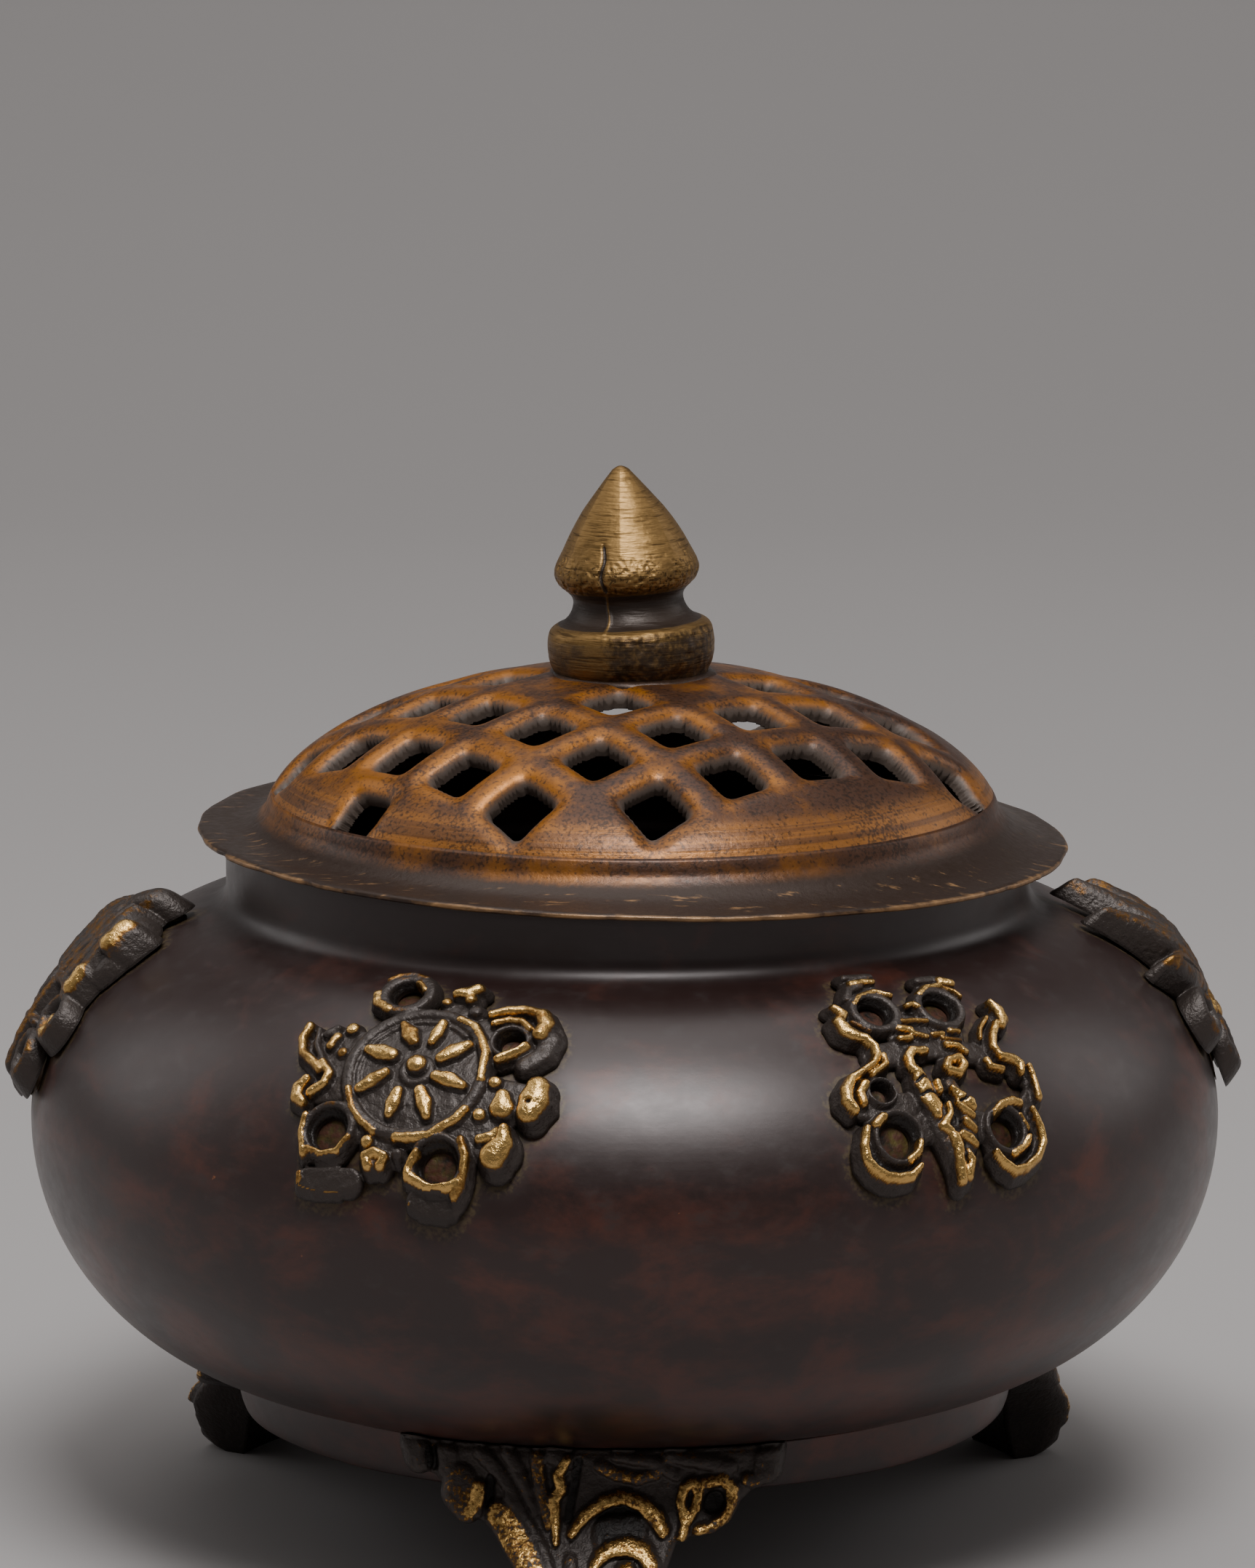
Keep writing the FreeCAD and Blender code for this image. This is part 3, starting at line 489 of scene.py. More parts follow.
def castingField(motif, x, y):
    # Edge distance (positive inside), relief height, rubbed share and painted shade share at each place
    edge = np.full(x.shape, -60.0)
    relief, shine, depth = np.zeros_like(x), np.zeros_like(x), np.zeros_like(x)
    if "outline" in motif:
        edge = insideOutline(motif["outline"], x, y)
    for points, width in motif.get("plates", ()):
        edge = np.maximum(edge, width - reach(points, x, y)[0])
    for points, width, rise, rub in motif["strokes"]:
        distance, along = reach(points, x, y)
        if not np.isscalar(width):
            width = np.interp(along, np.linspace(0, 1, len(width)), width)
        inside = np.clip(1 - (distance / width) ** 2, 0, 1)
        if rise > 0:
            # full, flat-topped forms that run together where they meet, as in a worn mould
            edge = np.maximum(edge, width - distance + motif["skirt"])
            bump = rise * inside ** castingForm["strokeFullness"]
            rubbed = rub * smoothStep(*castingForm["strokeRub"], inside)
            shine = np.where((bump > relief) & (inside > 0), rubbed, shine)
            blend = np.maximum(castingForm["melt"] * inside, 1e-6)
            share = np.clip(0.5 + 0.5 * (bump - relief) / blend, 0, 1)
            melted = relief + (bump - relief) * share + blend * share * (1 - share)
            relief = np.where(inside > 0, melted, relief)
        else:
            # painted shade down in the cut
            sunk = smoothStep(0, castingForm["cutShade"], inside)
            relief = relief + rise * smoothStep(0, castingForm["cutSlope"], inside)
            shine = shine + (rub - shine) * sunk
            depth = np.maximum(depth * (1 - rub), (1 - rub) * sunk)
    for px, py, outer, hole, rub in motif.get("eyelets", ()):
        distance = np.hypot(x - px, y - py)
        middle, half = (outer + hole) / 2, (outer - hole) / 2
        inside = np.clip(1 - ((distance - middle) / half) ** 2, 0, 1)
        edge = np.maximum(edge, outer + castingForm["collarSkirt"] - distance)
        bump = motif["collar"] * inside ** castingForm["collarFullness"]
        # rims are rubbed on two sides only
        turns = 0.65 + 0.35 * np.sin(2 * np.arctan2(y - py, x - px) + 1.7 * px)
        shine = np.where(bump > relief, rub * turns * smoothStep(*castingForm["collarRub"], inside), shine)
        relief = np.maximum(relief, bump)
    for px, py, outer, hole, rub in motif.get("eyelets", ()):
        distance = np.hypot(x - px, y - py)
        edge = np.minimum(edge, distance - castingForm["holeTaper"] * hole)
        # painted shade in and around the hole
        around, within = castingForm["holeShade"]
        depth = np.maximum(depth, smoothStep(hole + around, hole + within, distance))
    return edge, relief, shine, depth


def openEdges(cells):
    # Edges of a sheet of quads that only one of them uses
    edges = np.concatenate([cells[:, [k, (k + 1) % 4]] for k in range(4)])
    known = set(map(tuple, edges.tolist()))
    return [(a, b) for a, b in edges.tolist() if (b, a) not in known]


def thickened(front, rear, cells, freeEdges):
    # Closed shell between two sheets; its side wall has three rows, so that it keeps a shading of its own
    border = np.unique(np.array(freeEdges))
    count = len(front)
    row = np.full(count, -1)
    row[border] = np.arange(len(border))
    between = [front[border] * (1 - share) + rear[border] * share for share in castingForm["wallRows"]]
    points = np.vstack([front, rear] + between)
    faces = cells.tolist() + (cells[:, ::-1] + count).tolist()
    for a, b in freeEdges:
        upper, lower = 2 * count + row[[a, b]], 2 * count + len(border) + row[[a, b]]
        for high, low in (((a, b), upper), (upper, lower), (lower, (a + count, b + count))):
            faces.append([int(high[1]), int(high[0]), int(low[0]), int(low[1])])
    return points, faces, 2 * len(border)


def castingSheet(motif, window, step):
    # Grid of the field inside the outline, with its border slid onto the outline
    lowX, lowY, highX, highY = window
    x, y = np.meshgrid(np.arange(lowX, highX, step), np.arange(lowY, highY, step), indexing="ij")
    edge = castingField(motif, x, y)[0]
    keep = edge[:-1, :-1] + edge[1:, :-1] + edge[1:, 1:] + edge[:-1, 1:] > 0
    around = np.zeros(x.shape, dtype=int)
    for i in (0, 1):
        for j in (0, 1):
            around[i:i + keep.shape[0], j:j + keep.shape[1]] += keep
    used, border = around > 0, (around > 0) & (around < 4)
    probe, furthest = castingForm["probe"], castingForm["furthest"] * step
    for _ in range(castingForm["passes"]):
        bx, by = x[border], y[border]
        here = castingField(motif, bx, by)[0]
        slopeX = (castingField(motif, bx + probe, by)[0] - here) / probe
        slopeY = (castingField(motif, bx, by + probe)[0] - here) / probe
        move = np.clip(here / (slopeX ** 2 + slopeY ** 2 + 1e-6), -furthest, furthest)
        x[border], y[border] = bx - move * slopeX, by - move * slopeY
    number = np.full(x.shape, -1)
    number[used] = np.arange(used.sum())
    i, j = np.nonzero(keep)
    cells = np.stack([number[i, j], number[i + 1, j], number[i + 1, j + 1], number[i, j + 1]], axis=1)
    return x[used], y[used], cells, openEdges(cells)


def castingMesh(name, motif, window, step, lay):
    # lay turns field points and heights into places on the burner
    x, y, cells, freeEdges = castingSheet(motif, window, step)
    edge, relief, shine, depth = castingField(motif, x, y)
    plate, lip, back = motif["plate"], motif["lip"], motif["back"]
    field = np.stack([x, y, np.zeros_like(x)], axis=1)
    fine, coarse = grain(field, *castingForm["fineGrain"]), grain(field, *castingForm["coarseGrain"])
    rounding = np.sqrt(1 - (1 - np.clip(edge / motif["round"], 0, 1)) ** 2)
    # relief and grain fade towards the rounded edge
    height = lip + (plate - lip) * rounding + motif["boldness"] * relief * np.clip(0.35 + edge / 0.8, 0, 1)
    height += motif["grit"] * (fine + 0.9 * coarse) * np.clip(edge / 0.6, 0.2, 1)
    most, middle, spread = motif["swell"]
    height += most * rounding * np.exp(-((y - middle) / spread) ** 2)
    worn = motif["edgeRub"] * np.exp(-((edge - 0.6) / 0.4) ** 2) * smoothStep(-0.1, 0.5, coarse)
    shine = np.maximum(shine, worn)
    front, rear = lay(x, y, height), lay(x, y, np.full(x.shape, back))
    points, faces, walls = thickened(front, rear, cells, freeEdges)
    # painted shade: full on the hidden back, part on the side walls
    values = {
        "shine": np.concatenate([shine, np.zeros(len(x) + walls)]),
        "depth": np.concatenate([depth, np.ones(len(x)), np.full(walls, castingForm["wallShade"])])}
    return meshFrom(name, points, faces, values)


def circleLine(x, y, radius, start, end, count=40):
    angles = np.radians(np.linspace(start, end, count))
    return [(x + radius * math.sin(a), y + radius * math.cos(a)) for a in angles]


# Plaques

plaqueBase = {
    "back": 0.25, "plate": 2.2, "lip": 1.1, "round": 0.9, "collar": 1.0, "grit": 0.06, "skirt": 0.3,
    "edgeRub": 0.55, "flatness": 1.22, "swell": (0.0, 0.0, 1.0), "boldness": 1.0,
}
frontBase = dict(
    plaqueBase, back=0.15, plate=1.15, lip=0.55, round=0.7, collar=0.85, grit=0.09, flatness=1.12, edgeRub=0.3)

wheelMotif = dict(frontBase, seat=(-21.0, 41.0), **{
    "plates": [
        ([(-0.1, -0.5)], 8.7), ([(-6, 1.6), (-11.4, 1.4)], 3.2), ([(-6, -2.4), (-11.2, -2.8)], 2.2),
        ([(7, 5), (12.0, 5.6)], 3.3), ([(4, -2), (13.6, -2.6)], 2.4), ([(5, -5), (11.4, -8.2)], 2.5),
        ([(1, 7), (2.9, 10.2)], 1.6), ([(-1, -7), (-2.4, -11.2)], 1.6), ([(-6, -6), (-8.4, -9.5)], 2.6),
        ([(4, -9), (4.9, -12.4)], 2.6), ([(-10.6, -13.2), (-5.4, -13.2)], 1.5),
        ([(3.0, -14.6), (6.4, -14.6)], 1.5)],
    "strokes": [
        # rim and hub
        (circleLine(-0.1, -0.5, 7.9, 0, 360, 60), 0.8, 0.75, 0.1),
        (circleLine(-0.1, -0.5, 6.8, 240, 400), 0.35, 0.35, 0.05),
        ([(3.2, 6.8), (5.0, 6.1), (6.5, 4.3), (7.4, 2.6), (7.6, 0.6), (7.8, -0.9)], 0.62, 1.0, 0.95),
        ([(-0.4, -8.8), (1.6, -8.6), (3.5, -8.2), (5.0, -6.9), (6.2, -6.0), (6.9, -4.8)], 0.62, 1.0, 0.95),
        ([(-7.3, -3.5), (-6.3, -5.7), (-4.9, -7.2), (-3.1, -8.3)], 0.55, 0.9, 0.75),
        (circleLine(0.1, -0.5, 1.6, 0, 360, 24), 0.5, 0.5, 0.05), ([(0, 0.1)], 1.35, 1.35, 1.0),
        # eight spokes shaped like petals
        ([(-3.1, 5.3), (-2.1, 4.2), (-1.3, 3.1)], (0.6, 1.3, 0.85), 1.15, 0.7),
        ([(1.3, 5.9), (1.1, 4.5), (0.9, 3.2)], (0.7, 0.95, 0.65), 1.15, 1.0),
        ([(5.1, 3.3), (3.8, 2.3), (2.6, 1.2)], (0.75, 1.25, 0.85), 1.15, 1.0),
        ([(2.6, -1.2), (4.3, -1.5), (5.9, -2.0)], (0.8, 1.15, 0.7), 1.15, 1.0),
        ([(1.3, -3.2), (2.1, -4.6), (2.7, -6.0)], (0.85, 1.15, 0.7), 1.15, 1.0),
        ([(-1.3, -3.5), (-1.5, -4.9), (-1.7, -6.2)], (0.8, 1.1, 0.65), 1.15, 1.0),
        ([(-3.3, -1.3), (-4.6, -2.3), (-5.9, -3.4)], (0.7, 1.1, 0.75), 1.15, 0.9),
        ([(-6.2, 1.6), (-4.8, 1.4), (-3.3, 1.1)], (0.75, 1.25, 1.0), 1.15, 1.0),
        # worn lower edges of the two tabs
        ([(-11.6, -12.7), (-11.5, -13.8), (-9.6, -14.3), (-6.6, -14.4)], (0.5, 0.45, 0.35, 0.3), 0.35, 0.75),
        ([(2.2, -15.2), (3.4, -15.7), (6.2, -15.7)], 0.35, 0.3, 0.65),
        # upper eyelet and bud
        ([(-5.8, 7.6), (-7.6, 8.6), (-8.0, 9.9)], 0.75, 1.0, 0.85), ([(-3.8, 12.0), (-2.9, 11.1)], 0.6, 1.0, 0.8),
        ([(-7.4, 12.3), (-6.5, 13.1), (-4.9, 13.4), (-3.2, 12.9)], 0.55, 0.9, 0.5),
        ([(1.5, 10.5), (2.7, 10.8), (3.6, 11.6)], (0.75, 1.1, 0.95), 1.5, 1.0), ([(3.3, 9.9)], 0.85, 1.4, 0.9),
        ([(4.2, 8.5)], 0.9, 0.7, 0.2), ([(0.5, 9.4)], 0.75, 0.8, 0.65),
        # loop at the upper right
        ([(13.8, 5.8), (13.6, 3.6), (12.0, 1.8)], 1.2, 0.7, 0.05),
        ([(6.6, 7.8), (8.1, 8.6), (10.1, 9.1), (12.1, 8.8)], (0.7, 0.8, 0.8, 0.9), 1.5, 0.8),
        ([(7.2, 6.6), (8.7, 7.4), (10.1, 7.5), (11.3, 6.6)], 0.55, 1.2, 0.85),
        ([(12.1, 8.7), (13.0, 7.5), (12.7, 6.0)], 1.1, 1.5, 0.8),
        ([(9.1, 1.7), (10.2, 2.6), (11.5, 3.9)], (0.65, 0.8, 0.85), 1.4, 1.0),
        # beads and buds on the right
        ([(9.4, -1.0)], 0.9, 0.9, 0.95), ([(8.6, -5.1)], 0.9, 0.9, 0.95),
        ([(10.8, -2.7), (11.0, -3.9)], (1.0, 1.7), 1.4, 1.0),
        ([(14.5, -1.1), (14.4, -2.7), (14.1, -4.2)], (1.6, 2.1, 1.6), 1.8, 1.0), ([(14.0, -3.2)], 0.4, -0.7, 0.0),
        ([(9.2, -7.9), (10.5, -7.4), (11.1, -6.7)], 0.65, 1.0, 0.95),
        ([(11.9, -6.6), (12.1, -8.0), (11.2, -9.6)], (0.85, 1.3, 1.8), 1.6, 1.0),
        # double wavy ribbon on the left
        ([(-13.2, 4.2), (-12.8, 2.0), (-11.6, 0.2)], 0.5, 0.9, 0.1),
        ([(-14.4, 4.5), (-14.8, 2.9), (-14.2, 0.9), (-12.5, -0.3), (-11.4, -1.4)], (0.75, 0.75, 0.65, 0.7, 0.6),
         1.4, 0.8),
        ([(-11.3, -0.4), (-10.1, -1.7), (-10.4, -3.0), (-11.8, -4.1)], 0.68, 1.3, 0.95),
        ([(-12.7, -2.6), (-13.5, -3.6), (-13.4, -4.6), (-12.5, -5.3)], (0.75, 0.95, 0.95, 0.7), 1.4, 1.0),
        ([(-10.7, 3.3), (-11.1, 2.0)], 0.68, 1.0, 0.85), ([(-9.4, 1.2)], 0.75, 0.8, 0.65),
        ([(-9.2, 4.5)], 0.95, 1.0, 0.95), ([(-11.1, 4.5), (-12.1, 3.7)], 0.65, 0.8, 0.2),
        # lower left eyelet, with a low tab under it
        ([(-11.8, -6.7), (-11.9, -8.6), (-11.3, -10.8)], 0.6, 1.0, 0.85),
        ([(-10.8, -10.4), (-9.0, -11.0), (-7.1, -10.6), (-6.0, -9.1)], 0.5, 1.0, 0.8),
        ([(-10.4, -12.6), (-8.0, -12.9), (-5.6, -12.4)], 1.0, -0.75, 0.0),
        ([(-11.3, -13.9), (-9.7, -14.2), (-6.8, -14.3), (-4.9, -13.9)], 0.75, -0.35, 0.75),
        # bud at the foot
        ([(-3.7, -9.4)], 0.9, 0.9, 0.95), ([(-2.4, -11.7)], 0.9, 0.7, 0.3), ([(0.1, -10.5)], 0.8, 0.7, 0.25),
        ([(-3.1, -12.0), (-3.6, -11.1), (-2.5, -10.6), (-1.3, -11.0), (-1.6, -11.9)], 0.72, 1.2, 0.9),
        # lower right eyelet, with its tab
        ([(2.4, -10.3), (1.9, -11.4), (1.7, -12.4)], 0.68, 1.1, 0.8),
        ([(1.8, -12.7), (4.1, -13.5), (6.4, -13.4), (7.8, -12.8)], 0.72, 1.1, 0.95),
        ([(7.2, -8.3), (8.0, -9.8), (8.1, -11.8), (7.9, -13.1), (7.3, -14.2)], 0.66, 1.1, 0.7),
        ([(2.8, -14.6), (4.8, -14.8), (6.4, -14.7)], 0.75, -0.75, 0.0),
        ([(2.3, -15.6), (4.5, -15.8), (6.8, -15.7)], 0.65, -0.35, 0.75)],
    "eyelets": [(-4.6, 10.2, 3.6, 1.85, 0.4), (9.6, 4.5, 2.4, 1.6, 0.1), (-8.7, -8.2, 3.4, 2.3, 0.35),
        (4.9, -11.0, 3.4, 2.4, 0.35)],
})

fishMotif = dict(frontBase, seat=(32.0, 39.0), **{
    "plates": [
        ([(-0.5, 4.6), (3.4, 4.0)], 3.0), ([(-6.2, 2.2), (0.4, 2.4)], 1.7), ([(8.0, 0.6), (0.4, 2.4)], 1.5),
        ([(-8.2, -8.6)], 3.9), ([(7.6, -9.4)], 4.0), ([(-8.0, -8.2), (-1.8, -6.6)], 1.8),
        ([(7.0, -8.8), (1.4, -6.8)], 1.8), ([(-3.4, 8.2), (-2.5, 12.6)], 1.9), ([(5.2, 7.4), (6.2, 11.0)], 1.9),
        ([(-9.6, -3.6), (-5, -4.4)], 1.8), ([(11.9, -5.0), (10.2, -6.8)], 1.2), ([(10.8, -1.4), (12.3, -3.0)], 1.2),
        ([(10.4, 4.6), (8.0, 1.6)], 1.3)],
    "strokes": [
        # dark bodies of two fish with their tails crossed
        ([(-2.6, -0.2), (-2.6, -2.4), (-2.1, -5.0), (-1.8, -7.8), (-1.1, -9.9), (-0.6, -12.0), (-0.6, -13.6)],
         (0.9, 1.35, 1.35, 1.15, 1.1, 1.0, 0.8), 0.7, 0.3),
        ([(1.2, -2.9), (1.7, -4.9), (2.1, -6.8), (1.6, -8.9), (0.8, -10.8)], (0.9, 1.3, 1.25, 1.15, 1.0), 0.7, 0.3),
        # rubbed head and scales of the left one
        ([(-0.6, 1.4), (-2.2, 1.6), (-3.0, 0.9), (-3.2, -0.3), (-2.7, -1.1)], (0.65, 0.78, 0.72, 0.78, 0.78), 1.4,
         1.0),
        ([(-1.8, 0.6)], 0.6, -0.5, 0.0),
        ([(-2.7, -1.1), (-2.6, -2.4), (-2.5, -3.4)], (0.85, 1.25, 1.15), 1.4, 0.95),
        ([(-2.5, -4.2), (-2.1, -5.4), (-2.1, -6.3)], (1.25, 1.25, 0.75), 1.4, 0.95),
        ([(-0.8, -2.7), (-0.8, -3.6)], 0.62, 1.3, 0.9),
        ([(-0.3, -5.3), (-0.4, -6.5), (-1.7, -7.7), (-1.0, -8.4)], (0.42, 0.52, 0.72, 0.66), 1.25, 0.9),
        ([(-3.3, -2.3), (-2.4, -1.8), (-1.7, -2.1)], 0.22, -0.35, 0.0),
        ([(-3.3, -3.9), (-2.4, -3.7), (-1.5, -4.0)], 0.22, -0.35, 0.0),
        # head and scales of the right one
        ([(1.2, -1.0), (1.9, -0.2), (3.3, 0.0), (3.6, -1.0), (2.6, -1.9), (1.5, -1.4)], 0.68, 1.4, 0.95),
        ([(0.8, -3.6), (1.6, -4.7), (2.6, -5.5), (2.8, -6.1)], (0.42, 1.0, 0.95, 0.5), 1.35, 0.95),
        ([(0.9, -5.4), (1.6, -6.3), (2.4, -7.0)], (0.5, 0.7, 0.5), 1.3, 0.9),
        ([(1.3, -7.5), (2.1, -8.5)], 0.7, 1.25, 0.85), ([(1.1, -5.3), (2.0, -5.1), (2.6, -4.6)], 0.2, -0.35, 0.0),
        # tails
        ([(-0.7, -9.1), (-0.5, -10.3), (-0.7, -12.0), (-0.8, -13.6)], (0.85, 0.85, 0.85, 0.75), 1.4, 1.0),
        ([(0.4, -8.9), (1.2, -9.4), (1.8, -10.2)], (0.65, 0.7, 0.55), 1.3, 0.9),
        ([(0.4, -11.0), (0.9, -11.7), (0.2, -13.2)], (0.7, 0.65, 0.75), 1.3, 0.95),
        ([(0.3, -9.9), (0.0, -11.7)], 0.25, -0.4, 0.0), ([(0.3, -3.6), (0.3, -5.8), (0.7, -7.4)], 0.25, -0.4, 0.0),
        # ribbon on the left, doubled inside its bends
        ([(-8.5, 9.1), (-7.8, 8.1), (-9.0, 7.0)], (0.66, 0.72, 0.78), 1.3, 0.75),
        ([(-9.0, 7.0), (-8.8, 5.6), (-8.2, 4.9), (-7.1, 4.1), (-6.6, 2.8), (-6.8, 1.6), (-7.8, 0.7), (-9.6, 0.0)],
         (0.9, 1.15, 1.0, 0.75, 0.65, 0.65, 0.55, 0.55), 1.6, 1.0),
        ([(-9.6, 0.0), (-10.9, -0.5), (-12.0, -1.7), (-12.4, -3.0), (-11.9, -4.3)], (0.55, 0.7, 0.9, 0.85, 0.6),
         1.6, 1.0),
        ([(-7.3, 6.8), (-5.8, 5.2)], 0.4, 0.9, 0.45), ([(-5.8, 1.7), (-6.0, 0.6), (-8.1, -0.3)], 0.52, 1.1, 0.85),
        ([(-9.4, -1.2), (-10.4, -2.2), (-10.4, -3.4)], 0.72, 1.1, 0.85),
        # ribbon on the right
        ([(11.3, 7.0), (11.9, 5.9), (11.9, 4.6), (11.2, 3.7)], (0.55, 0.95, 0.9, 0.65), 1.5, 0.95),
        ([(10.6, 4.0), (9.2, 2.4), (8.5, 0.9), (8.9, -0.3)], 0.62, 1.5, 0.95),
        ([(9.9, 5.1), (8.2, 3.6), (7.5, 2.3)], 0.4, 1.0, 0.75),
        ([(8.9, -0.4), (10.4, -0.8), (11.1, -1.6), (10.8, -2.6)], (0.65, 0.8, 0.85, 0.6), 1.6, 1.0),
        ([(7.0, -0.6), (7.1, -1.4), (8.6, -1.9)], 0.54, 1.2, 0.9),
        ([(12.4, -1.8), (12.5, -3.1), (12.3, -4.6), (12.3, -5.5)], (0.5, 0.55, 0.55, 0.65), 1.3, 0.85),
        # curls between the upper eyelets
        ([(0.6, 8.0), (1.5, 8.2), (1.8, 7.7)], 0.5, 1.0, 0.9), ([(0.7, 7.0)], 0.8, -1.0, 0.0),
        ([(-1.4, 5.9), (0.3, 5.8), (1.8, 5.5)], 0.45, 0.9, 0.7), ([(-2.1, 5.0), (-0.9, 4.6)], 0.6, 1.0, 0.9),
        ([(-0.8, 4.1), (0.7, 3.4)], 0.5, 0.9, 0.8), ([(-2.7, 3.6), (-1.4, 3.5)], 0.52, 1.0, 0.95),
        ([(1.7, 3.6), (3.1, 3.6)], 0.42, 0.8, 0.75), ([(4.2, 3.8), (5.2, 3.6)], 0.46, 0.9, 0.85),
        ([(2.8, 2.9), (4.8, 2.4)], 0.4, 0.8, 0.65), ([(2.7, 2.0), (4.0, 1.6), (4.7, 0.7)], 0.5, 1.1, 0.95),
        # rims of the upper eyelets, with tabs
        ([(-5.7, 9.3), (-4.4, 10.4), (-2.2, 10.8), (-0.6, 9.8)], 0.45, 0.95, 0.85),
        ([(-5.9, 10.4), (-4.9, 11.7), (-3.3, 12.1)], 0.65, 0.8, 0.3),
        ([(-4.1, 12.6), (-2.7, 12.6), (-1.5, 12.4)], 0.58, 0.9, 0.85),
        ([(-4.1, 13.8), (-1.0, 13.5)], 0.6, 0.5, 0.1), ([(3.1, 9.5), (4.5, 10.4), (6.3, 10.5)], 0.52, 1.0, 0.9),
        ([(6.3, 10.5), (7.9, 9.4), (8.2, 8.5)], 0.42, 0.9, 0.65), ([(7.2, 11.2), (8.1, 10.7)], 0.8, 1.1, 0.95),
        ([(4.6, 11.8), (6.7, 11.8)], 0.7, 0.6, 0.1),
        # rims of the lower eyelets, doubled
        ([(-8.7, -5.5), (-9.8, -6.1)], 0.72, 1.1, 0.9),
        ([(-5.1, -9.0), (-5.6, -10.0), (-6.9, -10.6)], 0.6, 1.1, 0.95),
        ([(-11.1, -6.4), (-11.9, -8.2), (-12.0, -9.7), (-11.3, -10.9), (-10.0, -11.9), (-8.6, -12.3),
          (-7.0, -12.3), (-5.8, -11.5)], (0.55, 0.68, 0.72, 0.72, 0.72, 0.72, 0.66, 0.5), 1.3, 0.95),
        ([(-11.0, -8.9), (-10.4, -10.2), (-8.9, -11.1), (-7.5, -11.2)], 0.5, -0.4, 0.0),
        ([(8.9, -7.4), (9.5, -8.9)], 0.42, 1.0, 0.85), ([(9.5, -10.0), (8.4, -11.0), (6.9, -11.5)], 0.6, 1.1, 0.95),
        ([(10.8, -6.9), (11.3, -8.9), (11.3, -10.5), (10.2, -12.0), (8.1, -13.1), (6.5, -13.3), (5.1, -12.4),
          (4.3, -11.2)], (0.48, 0.62, 0.66, 0.62, 0.62, 0.66, 0.62, 0.48), 1.3, 0.95),
        ([(5.6, -6.9), (6.7, -6.1), (8.4, -5.7), (9.3, -6.1)], 0.66, 1.2, 0.9),
        ([(10.2, -9.2), (9.6, -11.0), (7.2, -12.2)], 0.35, -0.4, 0.0)],
    "eyelets": [(-3.7, 7.8, 3.3, 1.95, 0.2), (4.7, 7.2, 3.3, 2.05, 0.2), (-7.4, -7.9, 3.2, 2.35, 0.1),
        (6.6, -8.7, 2.9, 2.0, 0.1),
                (-7.7, -2.5, 1.9, 1.3, 0.05)],
})

eyeletSize = (3.5, 1.9)  # outside and hole of the eyelets of the side and rear plaques


def bothSides(points, *rest):
    # A stroke and its mirror image
    return (points, *rest), ([(-x, y) for x, y in points], *rest)


lotusMotif = dict(plaqueBase, seat=(91.5, 39.5), plate=1.8, lip=0.6, round=1.5, grit=0.12, swell=(1.5, 3.0, 6.5), **{
    "plates": [([(0, -5.2)], 6.2), ([(-10.6, -5.6), (10.6, -5.6)], 1.8), ([(-5, -11.2), (5, -11.2)], 1.8)],
    "strokes": [
        # petals, with the veins cut into them
        ([(0, -3.6), (0, 5.0), (0, 14.4)], (1.6, 3.3, 0.8), 1.35, 0.4),
        *bothSides([(-1.4, -4), (-5.4, 4.0), (-8.8, 11.2)], (1.5, 3.0, 0.8), 1.25, 0.4),
        *bothSides([(-2.4, -4.4), (-7.8, -0.6), (-13.2, 2.6)], (1.4, 2.6, 0.6), 1.15, 0.45),
        ([(0, 0), (0, 9.6)], 0.22, -0.3, 0), *bothSides([(-3, -0.6), (-7.0, 7.2)], 0.22, -0.3, 0),
        *bothSides([(-4.6, -2.8), (-11.0, 1.2)], 0.22, -0.3, 0),
        # bracket and beads at the foot
        ([(-5.4, -7.0), (0, -5.2), (5.4, -7.0)], 1.0, 1.1, 0.8), ([(0, -8.4)], 1.5, 1.2, 0.9),
        *bothSides([(-3.4, -9.0)], 0.8, 0.8, 0.8)],
    "eyelets": [(x, y, *eyeletSize, 0.45) for x, y in ((-10.6, -5.6), (10.6, -5.6), (-5.0, -11.2), (5.0, -11.2))],
})

knotMotif = dict(plaqueBase, seat=(154.0, 38.0), **{
    "plates": [([(0, -1.6), (0, 1.6)], 10.0)],
    "strokes": [
        ([(shift - 5.6, shift + 5.6), (shift + 5.6, shift - 5.6)], 1.2, 1.15, 0.85) for shift in (-4.6, 0.0, 4.6)] + [
        ([(shift - 5.6, -shift - 5.6), (shift + 5.6, -shift + 5.6)], 1.2, 1.3, 0.85) for shift in (-4.6, 0.0, 4.6)] + [
        (circleLine(x, y, 1.9, 0, 360, 20), 0.6, 1.0, 0.8) for y in (6.2, -6.2) for x in (-9.4, 9.4)],
    "eyelets": [(x, y, *eyeletSize, 0.7) for x, y in ((0, 11.6), (-11.0, 0), (11.0, 0), (0, -11.6))],
})

